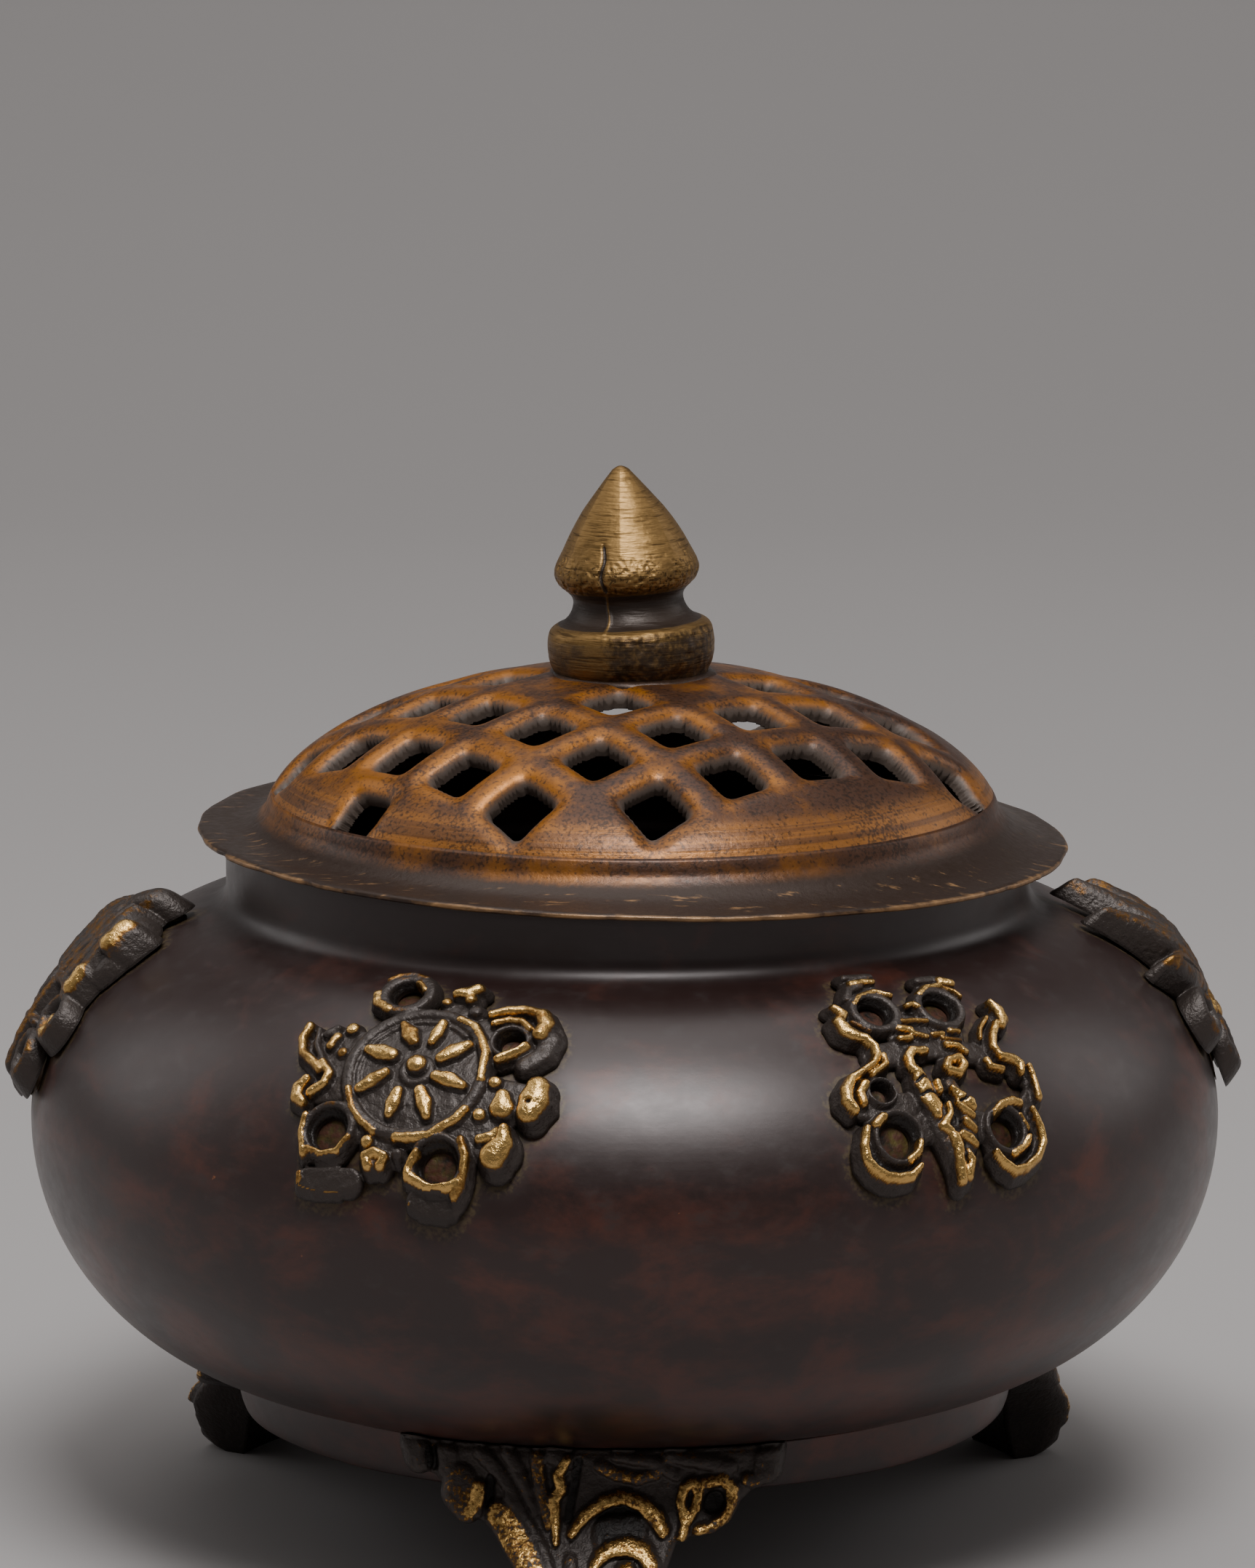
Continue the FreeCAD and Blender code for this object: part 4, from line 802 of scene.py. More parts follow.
vaseMotif = dict(plaqueBase, seat=(216.0, 38.0), **{
    "plates": [
        ([(0, -3)], 7.6), ([(0, -3), (0, 10.0)], 3.2), ([(0, -3), (0, -12.0)], 3.2),
        ([(-9.6, 3.4), (9.6, 3.4)], 1.7), ([(-8.2, -9.4), (8.2, -9.4)], 1.7)],
    "strokes": [
        # belly, neck, lip and foot of the vase, with two lines cut into the belly
        ([(0, 4.4), (0, 0.6), (0, -4.0), (0, -9.0)], (1.8, 5.0, 6.4, 2.6), 1.35, 0.75),
        ([(0, 3.0), (0, 9.0)], (2.4, 1.9), 1.1, 0.7), ([(-4.6, 10.6), (4.6, 10.6)], 1.5, 1.3, 0.85),
        ([(-4.6, -12.4), (4.6, -12.4)], 1.5, 1.2, 0.85), ([(-5.6, -1.4), (0, -2.6), (5.6, -1.4)], 0.3, -0.35, 0),
        ([(-5.4, -4.6), (0, -5.8), (5.4, -4.6)], 0.3, -0.35, 0),
        # collar, handles and buds
        ([(-2.2, 6.2), (2.2, 6.2)], 0.6, 1.2, 0.8),
        *bothSides([(-6.6, 12.0), (-7.6, 8.6), (-6.0, 6.4)], 0.9, 1.0, 0.8), *bothSides([(-3, 12.8)], 1.2, 1.1, 0.9)],
    "eyelets": [(x, y, *eyeletSize, 0.7) for x, y in ((-9.6, 3.4), (9.6, 3.4), (-8.2, -9.4), (8.2, -9.4))],
})

parasolMotif = dict(plaqueBase, seat=(-85.0, 39.5), plate=2.0, lip=0.6, round=1.5, grit=0.12, swell=(1.1, 9.0, 6.0), **{
    "plates": [
        ([(-5.0, 4.4), (5.0, 4.4)], 6.6), ([(0, 9), (0.4, 12.0)], 2.4), ([(0, 3), (0, -13.2)], 2.3),
        ([(-9.4, -4.6), (9.4, -4.6)], 2.2), ([(-5.4, -10.8), (5.4, -10.8)], 1.8),
        *bothSides([(-8.6, 1.6), (-9.4, -4.6)], 2.0)],
    "strokes": [
        # gores, hem, knob, shaft and tassel
        ([(0.35 * x, 10.6), (0.85 * x, 5.0), (x, -1.0)], (0.7, 1.7, 1.3), 1.3, 0.4)
        for x in (-9.0, -4.6, 0.0, 4.6, 9.0)] + [
        ([(-9.4, -2.0), (-4.6, -1.2), (0, -2.0), (4.6, -1.2), (9.4, -2.0)], 0.9, 1.1, 0.45),
        ([(0.6, 11.6), (0.8, 12.6)], 2.2, 1.5, 0.3), ([(0, -3), (0, -13.4)], 1.2, 1.3, 0.5),
        ([(-2.4, -7.6), (2.4, -7.6)], 0.8, 1.0, 0.5),
        # lumps on the edge towards the front
        ([(9.2, 8.8), (9.8, 6.4)], 1.6, 1.7, 1.0), ([(9.2, 1.4), (9.4, -0.6)], 1.3, 1.6, 1.0),
        ([(11.2, -4.4), (10.6, -6.4)], 0.9, 1.4, 1.0)],
    "eyelets": [(x, y, *eyeletSize, 0.5) for x, y in ((-9.4, -4.6), (9.4, -4.6), (-5.4, -10.8), (5.4, -10.8))],
})


seatForm = {"passes": 8, "leastSlope": 0.005, "furthest": 3}


def seatAxes(motif):
    # Middle, right, up and outward directions of a plaque's seat on the shoulder
    azimuth, way = np.radians(motif["seat"])
    rise = bowlForm["shoulderRise"]
    turn = [[math.cos(azimuth), -math.sin(azimuth), 0], [math.sin(azimuth), math.cos(azimuth), 0], [0, 0, 1]]
    spin = np.array(turn)
    radius = bowlForm["floorRadius"] + bellyReach * math.cos(way)
    middle = np.array([0, -radius, bellyHeight + rise * math.sin(way)])
    out = np.array([0, -math.cos(way) / bellyReach, math.sin(way) / rise])
    out /= np.linalg.norm(out)
    right = np.array([1.0, 0, 0])
    return spin @ middle, spin @ right, spin @ np.cross(out, right), spin @ out


def layOnShoulder(motif, flatness=1.0):
    # The castings are flatter than the shoulder: its section is enlarged about their seat
    middle, right, up, out = seatAxes(motif)
    way = math.radians(motif["seat"][1])
    wide, more = flatness * bellyReach, flatness - 1
    axis = bowlForm["floorRadius"] - more * bellyReach * math.cos(way)
    level = bellyHeight - more * bowlForm["shoulderRise"] * math.sin(way)

    def lay(x, y, height):
        # Straight along the seat's normal, until the point is as far from the shoulder as it is high
        points = middle + x[:, None] * right + y[:, None] * up + height[:, None] * out
        for _ in range(seatForm["passes"]):
            radius = np.hypot(points[:, 0], points[:, 1])
            above = points[:, 2] - level
            across = wide + height
            rise = flatness * np.where(above > 0, bowlForm["shoulderRise"], bowlForm["lowerRise"]) + height
            away = np.maximum(radius - axis, 0)
            miss = (away / across) ** 2 + (above / rise) ** 2 - 1
            slope = 2 * away / across ** 2 * (points[:, :2] @ out[:2]) / radius + 2 * above / rise ** 2 * out[2]
            move = miss / np.maximum(slope, seatForm["leastSlope"])
            points = points - np.clip(move, -seatForm["furthest"], seatForm["furthest"])[:, None] * out
        return points

    return lay


plaqueWindow = (-18.0, -18.0, 18.0, 18.0)
plaques = {
    "wheel_plaque": ("wheelPlaque", wheelMotif, 0.15), "fish_plaque": ("fishPlaque", fishMotif, 0.15),
    "lotus_plaque": ("lotusPlaque", lotusMotif, 0.2), "knot_plaque": ("knotPlaque", knotMotif, 0.2),
    "vase_plaque": ("vasePlaque", vaseMotif, 0.2), "parasol_plaque": ("parasolPlaque", parasolMotif, 0.2),
}
for node, (name, motif, step) in plaques.items():
    mesh = castingMesh(name, motif, plaqueWindow, step, layOnShoulder(motif, motif["flatness"]))
    addPiece(name, mesh, castLook, "burner", "cast_brass", node)

# Braze between the plaques and the bowl: a pad under each plate, and the reddened film at the bottom of
# the eyelets
brazeForm = {
    "inset": 0.9, "narrowest": 1.6, "film": 0.07, "fillet": 0.12, "step": 0.3, "grain": (1.4, 9),
    # film past the hole of an eyelet, and the part of it that shows
    "pastHole": 0.35, "shown": 0.4,
    # room left over the bowl and under the plate
    "overBowl": 0.02, "underPlate": 0.05,
}


def makeBraze():
    blocks, faces, bare, start = [], [], [], 0
    for name, motif, step in plaques.values():
        onBowl, onBack = layOnShoulder(motif), layOnShoulder(motif, motif["flatness"])
        wide = [plate for plate in motif["plates"] if plate[1] > brazeForm["narrowest"]]
        pads = [(points, width - brazeForm["inset"]) for points, width in wide]
        holes = [([(px, py)], hole + brazeForm["pastHole"]) for px, py, outer, hole, rub in motif["eyelets"]]
        spread = {"plates": pads + holes, "strokes": []}
        x, y, cells, freeEdges = castingSheet(spread, plaqueWindow, brazeForm["step"])
        low = onBowl(x, y, np.full(x.shape, brazeForm["overBowl"]))
        room = (onBack(x, y, np.full(x.shape, motif["back"])) - low) @ seatAxes(motif)[3]
        inPad = castingField({"plates": pads, "strokes": []}, x, y)[0] > 0
        past = [np.hypot(x - px, y - py) - hole for px, py, outer, hole, rub in motif["eyelets"]]
        inHole = np.min(past, axis=0) < brazeForm["shown"]
        rough = grain(low, *brazeForm["grain"])
        film = brazeForm["film"] * (1.5 + rough) + np.where(inHole, 0, brazeForm["fillet"])
        filled = np.maximum(room - brazeForm["underPlate"], film)
        top = onBowl(x, y, np.where(inPad & ~inHole, filled, film))
        count = len(x)
        blocks += [top, low]
        faces += (cells + start).tolist() + (cells[:, ::-1] + start + count).tolist()
        faces += [[b + start, a + start, a + start + count, b + start + count] for a, b in freeEdges]
        bare += [inHole.astype(float), inHole.astype(float)]
        start += 2 * count
    return meshFrom("plaqueBraze", np.vstack(blocks), faces, {"bare": np.concatenate(bare)})


addPiece("plaqueBraze", makeBraze(), brazeLook, "burner", "braze", "plaque_solder")


def makeBowl():
    points, faces = turned(bowlProfile(), bowlForm["segments"])
    tiltRim(points)
    radius = np.hypot(points[:, 0], points[:, 1])
    out = points[:, :2] / np.maximum(radius, 1e-6)[:, None]
    away = smoothStep(*bowlForm["dentRadii"], radius) * smoothStep(*bowlForm["dentHeights"], points[:, 2])
    dents = (grain(points, *bowlForm["dentGrain"]) - 0.6) * bowlForm["dents"] * away
    points[:, :2] += out * dents[:, None]
    halo = np.zeros(len(points))
    for name, motif, step in plaques.values():
        middle, right, up, outward = seatAxes(motif)
        way = points - middle
        near = np.hypot(way @ right, way @ up) < bowlForm["haloReach"]
        near &= way @ outward > -bowlForm["haloDepth"]
        edge = castingField(motif, (way @ right)[near], (way @ up)[near])[0]
        halo[near] = np.maximum(halo[near], smoothStep(-bowlForm["haloWidth"], 0.0, edge))
    below = bowlForm["rimHeight"] - points[:, 2] - points[:, 0] * bowlForm["rimWearSlope"]
    onRim = points[:, 2] > bowlForm["rimHeight"] - bowlForm["rimBand"]
    wear = smoothStep(bowlForm["rimWear"], 0.0, below) * onRim
    return meshFrom("bowl", points, faces, {"halo": halo, "wear": wear})


addPiece("spunBowl", makeBowl(), copperLook, "burner", "dark_copper", "bowl")

# Foot ring

ringForm = {
    "bottom": 13.3, "bottomRadius": 45.4, "slope": 1.1 / 5.2, "wall": 1.8, "segments": 300,
    # radii where it meets the bowl, outside and inside, and the room left there
    "outRadius": 46.6, "inRadius": 44.8, "gap": 0.05,
    # the lower edge is wavy and worn
    "wave": 0.12, "waveTop": 15.5, "waveGrain": (14, 4), "wearWidth": 0.9, "wearShare": 0.9,
}


def ringRadius(height):
    return ringForm["bottomRadius"] + (height - ringForm["bottom"]) * ringForm["slope"]


def underBelly(radius):
    # Height of the bowl's underside at a radius
    away = np.clip((np.asarray(radius) - bowlForm["floorRadius"]) / bellyReach, 0, 1)
    return bellyHeight - bowlForm["lowerRise"] * np.sqrt(1 - away ** 2)


def makeRing():
    low, wall = ringForm["bottom"], ringForm["wall"]
    outTop, inTop = (float(underBelly(ringForm[key])) - ringForm["gap"] for key in ("outRadius", "inRadius"))
    edge = ringRadius(low)
    profile = [(edge - wall + 0.25, low), (edge - 0.3, low), (edge - 0.08, low + 0.08), (edge, low + 0.3)]
    profile += [(ringRadius(z), z) for z in np.linspace(low + 0.8, outTop, 14)]
    profile.append((ringForm["inRadius"], inTop))
    profile += [(ringRadius(z) - wall, z) for z in np.linspace(inTop - 0.3, low + 0.3, 8)]
    profile.append(profile[0])
    points, faces = turned(profile, ringForm["segments"])
    waves = ringForm["wave"] * (grain(points, *ringForm["waveGrain"]) + 1)
    points[:, 2] += waves * smoothStep(ringForm["waveTop"], low, points[:, 2])
    wear = smoothStep(ringForm["wearWidth"], 0.0, points[:, 2] - low) * ringForm["wearShare"]
    return meshFrom("footRing", points, faces, {"halo": np.zeros(len(points)), "wear": wear})


addPiece("footRing", makeRing(), copperLook, "burner", "dark_copper", "foot_ring")

# Feet

footMotif = {
    "plate": 0.0, "lip": -1.0, "back": 0.0, "round": 1.2, "grit": 0.09, "skirt": 0.0, "edgeRub": 0.45,
    "swell": (0.0, 0.0, 1.0), "boldness": 0.7,
    "outline": [
        (-22.4, 19.9), (-22.4, 18.6), (-21.6, 17.5), (-19.8, 16.3), (-18.2, 15.9), (-17.4, 15.2), (-17.3, 14.0),
        (-16.4, 13.0), (-14.4, 12.2), (-12.6, 11.6), (-11.9, 11.2), (-8.7, 8.2), (-7.3, 6.2), (-6.5, 4.4),
        (-5.7, 2.4), (-5.1, 0.0), (5.2, 0.0), (6.0, 2.4), (7.0, 4.6), (8.2, 6.6), (8.9, 8.3), (9.5, 10.0),
        (10.4, 10.5), (12.8, 10.8), (14.5, 11.4), (15.8, 12.4), (16.5, 13.8), (17.6, 14.8), (19.6, 15.5),
        (21.0, 16.2), (21.3, 18.2), (21.3, 19.9)],
    "strokes": [
        # rolled end, lobe and broad strap on the left
        ([(-20.6, 18.9), (-20.2, 17.6)], 1.9, 1.3, 0.12), ([(-16.8, 18.8), (-16.7, 17.0)], 1.3, 1.0, 0.1),
        ([(-18.6, 18.8), (-18.4, 17.2)], 0.8, -0.5, 0.0),
        ([(-15.2, 15.8), (-15.5, 14.2), (-14.3, 13.2)], 2.0, 1.4, 0.5),
        ([(-13.0, 15.3), (-13.2, 13.9), (-14.0, 12.9)], 1.0, 1.6, 1.0),
        ([(-11.7, 16.2), (-11.6, 13.4)], 0.6, -0.6, 0.0),
        ([(-10.5, 12.6), (-9.0, 10.9), (-7.5, 9.0), (-6.1, 7.0), (-4.9, 4.6)], (1.7, 1.9, 1.9, 1.7, 1.3), 1.3, 0.8),
        ([(-9.5, 14.6), (-7.2, 12.0), (-5.2, 9.4), (-4.0, 6.8)], 0.7, 1.0, 0.1),
        # flutes and the rubbed vein of the leaf
        ([(-13.0, 19.2), (-10.4, 16.8), (-8.0, 13.4)], (1.0, 0.9, 0.6), 0.9, 0.1),
        ([(-9.8, 19.4), (-8.2, 16.8), (-6.4, 13.2)], (1.0, 0.9, 0.6), 0.9, 0.15),
        ([(-6.4, 19.2), (-6.2, 17.2), (-5.7, 15.0), (-4.9, 11.8)], (0.9, 0.9, 0.8, 0.5), 1.1, 0.55),
        ([(-4.6, 19.4), (-2.8, 18.8)], 1.2, 0.8, 0.1),
        ([(-2.9, 19.0), (-3.9, 17.2), (-3.5, 15.8), (-4.3, 14.6), (-4.1, 12.4), (-3.9, 10.4)],
         (0.6, 0.8, 0.8, 0.8, 0.7, 0.5), 1.6, 1.0),
        ([(-1.7, 18.6), (-2.3, 15.0), (-2.7, 12.4)], 0.6, -0.5, 0.0),
        ([(0.8, 18.2), (2.8, 17.3), (5.0, 16.9), (7.0, 17.4)], 0.8, 0.8, 0.5),
        ([(2.6, 19.4), (6.6, 18.8), (9.4, 17.2)], 0.8, 0.8, 0.1),
        ([(8.6, 19.4), (12.4, 18.5), (15.4, 17.8)], 0.9, 0.8, 0.1),
        # arch with its hollow and boss, and the volute under it
        ([(3.2, 11.8)], 3.2, -0.7, 0.0), ([(1.6, 11.2), (4.8, 11.5)], 1.6, 0.7, 0.05),
        ([(-2.2, 11.2), (-0.8, 13.0), (1.4, 14.5), (3.6, 15.0), (5.7, 14.2), (7.2, 12.9), (8.0, 11.6)],
         (0.6, 0.8, 0.9, 0.9, 1.0, 1.1, 0.9), 1.7, 0.95),
        ([(0.5, 8.2), (1.2, 9.2), (2.3, 9.9), (4.2, 10.2), (6.0, 9.6), (6.9, 8.4), (6.6, 6.9), (5.0, 6.1),
          (3.6, 6.7), (3.5, 7.8), (4.5, 8.2)], (0.7, 0.9, 1.0, 1.1, 1.1, 1.0, 0.9, 0.8, 0.8, 0.7, 0.6), 1.7, 1.0),
        # ear, cup and rolled end on the right
        ([(10.2, 10.8), (10.5, 12.2), (9.9, 14.4), (10.3, 15.9), (11.3, 16.4), (11.9, 15.3), (11.6, 13.7),
          (10.6, 12.4)], 0.7, 1.4, 0.9),
        ([(12.3, 16.2), (14.6, 16.6), (15.6, 15.5), (15.5, 13.8), (14.8, 12.4), (13.4, 11.6), (12.0, 11.4)], 0.8,
         1.2, 0.8),
        ([(13.6, 14.0)], 1.5, -1.0, 0.0), ([(19.7, 18.6), (19.5, 17.0)], 1.7, 1.1, 0.15),
        ([(17.2, 16.4), (18.4, 15.9)], 0.8, 0.9, 0.5),
        # ridges of the leg and three claws
        ([(-2.2, 8.6), (-1.9, 5.4), (-1.8, 2.6)], (0.8, 1.1, 1.2), 0.9, 0.3),
        ([(3.0, 5.0), (2.6, 2.6)], 1.2, 0.7, 0.3), ([(-3.5, 1.75)], 1.6, 1.0, 0.35),
        ([(0.1, 1.85)], 1.7, 1.2, 0.35), ([(3.6, 1.75)], 1.6, 1.0, 0.35)],
}
footForm = {
    "azimuths": {
        "front_foot": ("frontFoot", -4.0), "right_rear_foot": ("rightRearFoot", 117.0),
        "left_rear_foot": ("leftRearFoot", -120.0)},
    # side view: height, radius of the face and of the back
    "heights": (0.0, 0.6, 1.6, 3.0, 4.4, 6.2, 8.0, 9.8, 11.4, 13.2, 15.0, 17.5, 20.0),
    "faces": (54.8, 56.0, 57.0, 57.6, 57.8, 57.5, 56.5, 54.9, 53.4, 52.3, 51.6, 50.9, 50.4),
    "backs": (51.0, 50.7, 50.2, 49.6, 49.0, 48.3, 47.6, 46.9, 46.3, 45.9, 46.15, 46.7, 47.2),
    "step": 0.2, "window": (-23.6, -0.4, 22.6, 20.6),
}


def layOnFoot(azimuth):
    turn = math.radians(azimuth)

    def lay(x, z, height):
        front = np.interp(z, footForm["heights"], footForm["faces"])
        back = np.interp(z, footForm["heights"], footForm["backs"])
        # the foot keeps off the belly above it
        share = np.clip(1 - ((bellyHeight - z) / bowlForm["lowerRise"]) ** 2, 0, 1)
        clear = bowlForm["floorRadius"] + bellyReach * np.sqrt(share) + 0.4
        radius = np.where(height == 0.0, np.maximum(back, clear), np.maximum(front + height - 0.3, clear + 0.4))
        y = -np.sqrt(radius ** 2 - x ** 2)
        across, along = x * math.cos(turn) - y * math.sin(turn), x * math.sin(turn) + y * math.cos(turn)
        return np.stack([across, along, z], axis=1)

    return lay


for node, (name, azimuth) in footForm["azimuths"].items():
    mesh = castingMesh(name, footMotif, footForm["window"], footForm["step"], layOnFoot(azimuth))
    addPiece(name, mesh, wornLook, "burner", "cast_brass", node)

# Lid: a pierced dome grown by a node tree, on a turned brim

# every value of the dome is an input of its tree
domeForm = {
    "radius": 42.9, "foot": 3.2, "rise": 16.5, "fullness": 1.2, "wall": 2.4,
    "firstHole": (0.37, 0.29, 0.0), "strayHole": (-32.0, -26.6, 0.0),
    "rowStep": (8.79, 6.46, 0.0), "columnStep": (6.61, -8.1, 0.0), "holeHalf": 2.85, "corner": 6.0,
    "edgeRound": 2.3, "edgeDrop": 1.7, "bandWidth": 0.3, "footBand": 1.6, "crown": 12.77, "reach": 40.0,
    "resolution": 233,
}
lidForm = {
    "brimEdge": 51.2, "brimNick": 0.5, "segments": 480, "shift": 0.93, "domeTilt": 0.25, "brimTilt": 1.45,
    "bendZone": (43.5, 50.5),
    # zone of the edge that is nicked, size and seed of the nicks, and the waviness of the brim
    "nickZone": (1.4, 0.2), "broadNicks": (7, 11), "smallNicks": (2.2, 12),
    "wave": 0.12, "waveGrain": (11, 13), "waveZone": (47, 50.5),
    # where the patina is dull, the painted shadow of the finial on the pad under it, and where the edge is worn
    "dullZone": (42.7, 45.3), "dullLeast": 0.35, "dullFoot": (6.8, 3.6), "padShadow": 0.7,
    "wearZone": (0.9, 0.1), "wearShare": 0.75,
    # turned band along the foot of the dome, by height and by distance from the holes
    "bandHeights": (9.5, 7.0), "bandPast": (0.8, 1.8), "noHole": 3.0,
    "padSegments": 96, "padRough": 0.04, "padGrain": (2.6, 14), "padEdge": 9,
    "padSection": [(0, 18.7), (9.7, 18.3), (9.8, 18.85), (9.5, 19.35), (8.9, 19.6), (0, 19.7)],
}


def bendLid(points):
    # The dome stands level, the brim is bent down to the right, and the whole lid sits to the right of the axis
    away = smoothStep(*lidForm["bendZone"], np.hypot(points[:, 0], points[:, 1]))
    tilt = lidForm["domeTilt"] + (lidForm["brimTilt"] - lidForm["domeTilt"]) * away
    bent = points + np.array([lidForm["shift"], 0, bowlForm["rimHeight"]])
    bent[:, 2] -= points[:, 0] * np.tan(np.radians(tilt))
    return bent


def piercedDomeTree():
    tree = bpy.data.node_groups.new("piercedDome", "GeometryNodeTree")
    kinds = {float: "NodeSocketFloat", int: "NodeSocketInt", tuple: "NodeSocketVector"}
    for name, value in domeForm.items():
        tree.interface.new_socket(name, in_out="INPUT", socket_type=kinds[type(value)])
    tree.interface.new_socket("material", in_out="INPUT", socket_type="NodeSocketMaterial")
    tree.interface.new_socket("Geometry", in_out="OUTPUT", socket_type="NodeSocketGeometry")
    known = {socket.name: socket for socket in addNode(tree, "NodeGroupInput").outputs}
    known["place"] = addNode(tree, "GeometryNodeInputPosition")

    addRows(tree, known, [
        # a flat disc of quads, spread so that the faces are even on the dome
        ("span", "length", "place"),
        ("grid", "grid", 2.0, 2.0, "resolution", "resolution"),
        ("outside", "above", "span", 1.0),
        ("disc", "delete", "grid", "outside"),
        ("capped", "MINIMUM", "span", 1.0),
        ("turn", "MULTIPLY", "capped", math.pi / 2),
        ("sine", "SINE", "turn"),
        ("planRadius", "MULTIPLY", "sine", "radius"),
        ("notZero", "MAXIMUM", "span", 0.000001),
        ("ratio", "DIVIDE", "planRadius", "notZero"),
        ("spread", "scale", "place", "ratio"),
        ("plan", "move", {"Geometry": "disc", "Position": "spread"}),
        # what the rows and columns of the lattice span
        ("rowLength", "length", "rowStep"),
        ("columnLength", "length", "columnStep"),
        ("area", "cross", "rowStep", "columnStep"),
        ("area", "parts", "area"),
        ("root", "DIVIDE", 1.0, "corner"),
    ])
    for hole in ("firstHole", "strayHole"):
        # where a point is from the middle of a hole, in steps of the rows and columns
        addRows(tree, known, [
            ("way", "minus", "place", hole),
            ("overRow", "cross", "way", "columnStep"),
            ("overRow", "parts", "overRow"),
            ("row", "DIVIDE", "overRow.Z", "area.Z"),
            ("overColumn", "cross", "rowStep", "way"),
            ("overColumn", "parts", "overColumn"),
            ("column", "DIVIDE", "overColumn.Z", "area.Z"),
        ])
        if hole == "firstHole":
            # the first hole stands for the nearest of all the regular ones
            addRows(tree, known, [
                ("wholeRow", "ROUND", "row"),
                ("wholeColumn", "ROUND", "column"),
                ("row", "SUBTRACT", "row", "wholeRow"),
                ("column", "SUBTRACT", "column", "wholeColumn"),
                ("overRows", "scale", "rowStep", "wholeRow"),
                ("overColumns", "scale", "columnStep", "wholeColumn"),
                ("both", "plus", "overRows", "overColumns"),
                ("regularHole", "plus", "both", hole),
            ])
        for step, length in (("row", "rowLength"), ("column", "columnLength")):
            addRows(tree, known, [
                (step, "MULTIPLY", step, length),
                (step, "ABSOLUTE", step),
                (step, "POWER", step, "corner"),
            ])
        addRows(tree, known, [("total", "ADD", "row", "column"), (hole + "Distance", "POWER", "total", "root")])

    addRows(tree, known, [
        # only meshes between the crown and the border are open, and the stray one beside them
        ("fromAxis", "length", "regularHole"),
        ("tooNear", "LESS_THAN", "fromAxis", "crown"),
        ("tooFar", "GREATER_THAN", "fromAxis", "reach"),
        ("shut", "ADD", "tooNear", "tooFar"),
        ("regular", "MULTIPLY_ADD", "shut", 99.0, "firstHoleDistance"),
        ("nearest", "MINIMUM", "regular", "strayHoleDistance"),
        ("isStray", "below", "strayHoleDistance", "regular"),
        ("centre", "choose", "isStray", "regularHole", "strayHole"),
        ("bore", "SUBTRACT", "nearest", "holeHalf"),
        # nothing is cut from the narrow band along the foot
        ("bandRadius", "SUBTRACT", "radius", "bandWidth"),
        ("intoBand", "SUBTRACT", "span", "bandRadius"),
        ("cut", "MAXIMUM", "bore", "intoBand"),
        ("inHole", "below", "cut", 0.0),
        ("pierced", "delete", "plan", "inHole"),
        # slide the ragged edges onto the true outline of each hole, onto the band, or onto the foot of the dome
        ("faceCount", "neighbours"),
        ("atEdge", "equal", "faceCount", 1),
        ("fromCentre", "minus", "place", "centre"),
        ("grow", "DIVIDE", "holeHalf", "nearest"),
        ("slid", "scale", "fromCentre", "grow"),
        ("onHole", "plus", "slid", "centre"),
        ("toBand", "DIVIDE", "bandRadius", "span"),
        ("onBand", "scale", "place", "toBand"),
        ("toFoot", "DIVIDE", "radius", "span"),
        ("onFoot", "scale", "place", "toFoot"),
        ("deepInHole", "below", "bore", "intoBand"),
        ("atFoot", "above", "intoBand", 0.2),
        ("inland", "choose", "deepInHole", "onHole", "onBand"),
        ("target", "choose", "atFoot", "inland", "onFoot"),
        ("trimmed", "move", {"Geometry": "pierced", "Selection": "atEdge", "Position": "target"}),
        # raise the plan to the dome
        ("share", "DIVIDE", "span", "radius"),
        ("leaning", "MINIMUM", "share", 1.0),
        ("squared", "MULTIPLY", "leaning", "leaning"),
        ("rest", "SUBTRACT", 1.0, "squared"),
        ("steep", "SQRT", "rest"),
        ("shaped", "POWER", "steep", "fullness"),
        ("height", "MULTIPLY_ADD", "shaped", "rise", "foot"),
        ("lift", "upright", {"Z": "height"}),
        ("sideways", "MULTIPLY", "leaning", "rise"),
        ("sidePart", "DIVIDE", "sideways", "notZero"),
        ("outward", "scale", "place", "sidePart"),
        ("upPart", "MULTIPLY", "steep", "radius"),
        ("upward", "upright", {"Z": "upPart"}),
        ("leant", "plus", "outward", "upward"),
        ("normal", "unit", "leant"),
        # round the bars over towards their holes, less so near the foot
        ("overEdge", "clampedShare", "bore", "edgeRound"),
        ("fromTop", "SUBTRACT", 1.0, "overEdge"),
        ("fromTop", "MULTIPLY", "fromTop", "fromTop"),
        ("circle", "SUBTRACT", 1.0, "fromTop"),
        ("circle", "SQRT", "circle"),
        ("missing", "SUBTRACT", "circle", 1.0),
        ("toFootEdge", "SUBTRACT", "radius", "span"),
        ("faded", "clampedShare", "toFootEdge", "footBand"),
        ("fullDrop", "MULTIPLY", "missing", "edgeDrop"),
        ("drop", "MULTIPLY", "fullDrop", "faded"),
        ("sunk", "scale", "normal", "drop"),
        ("offset", "plus", "lift", "sunk"),
        # the way from each point to the inside of the wall
        ("depth", "ADD", "wall", "drop"),
        ("inwards", "MULTIPLY", "depth", -1.0),
        ("inside", "scale", "normal", "inwards"),
    ])
    sheet = known["trimmed"]
    for name, kind in (("bore", "FLOAT"), ("inside", "FLOAT_VECTOR")):
        sheet = addNode(tree, "GeometryNodeStoreNamedAttribute", {
            "Geometry": sheet, "Name": name, "Value": known[name]}, data_type=kind, domain="POINT")
    sheet = addNode(tree, "GeometryNodeSetPosition", {"Geometry": sheet, "Offset": known["offset"]})
    sheet = addNode(tree, "GeometryNodeSetShadeSmooth", {"Geometry": sheet})
    sheet = addNode(tree, "GeometryNodeRealizeInstances", {"Geometry": sheet})
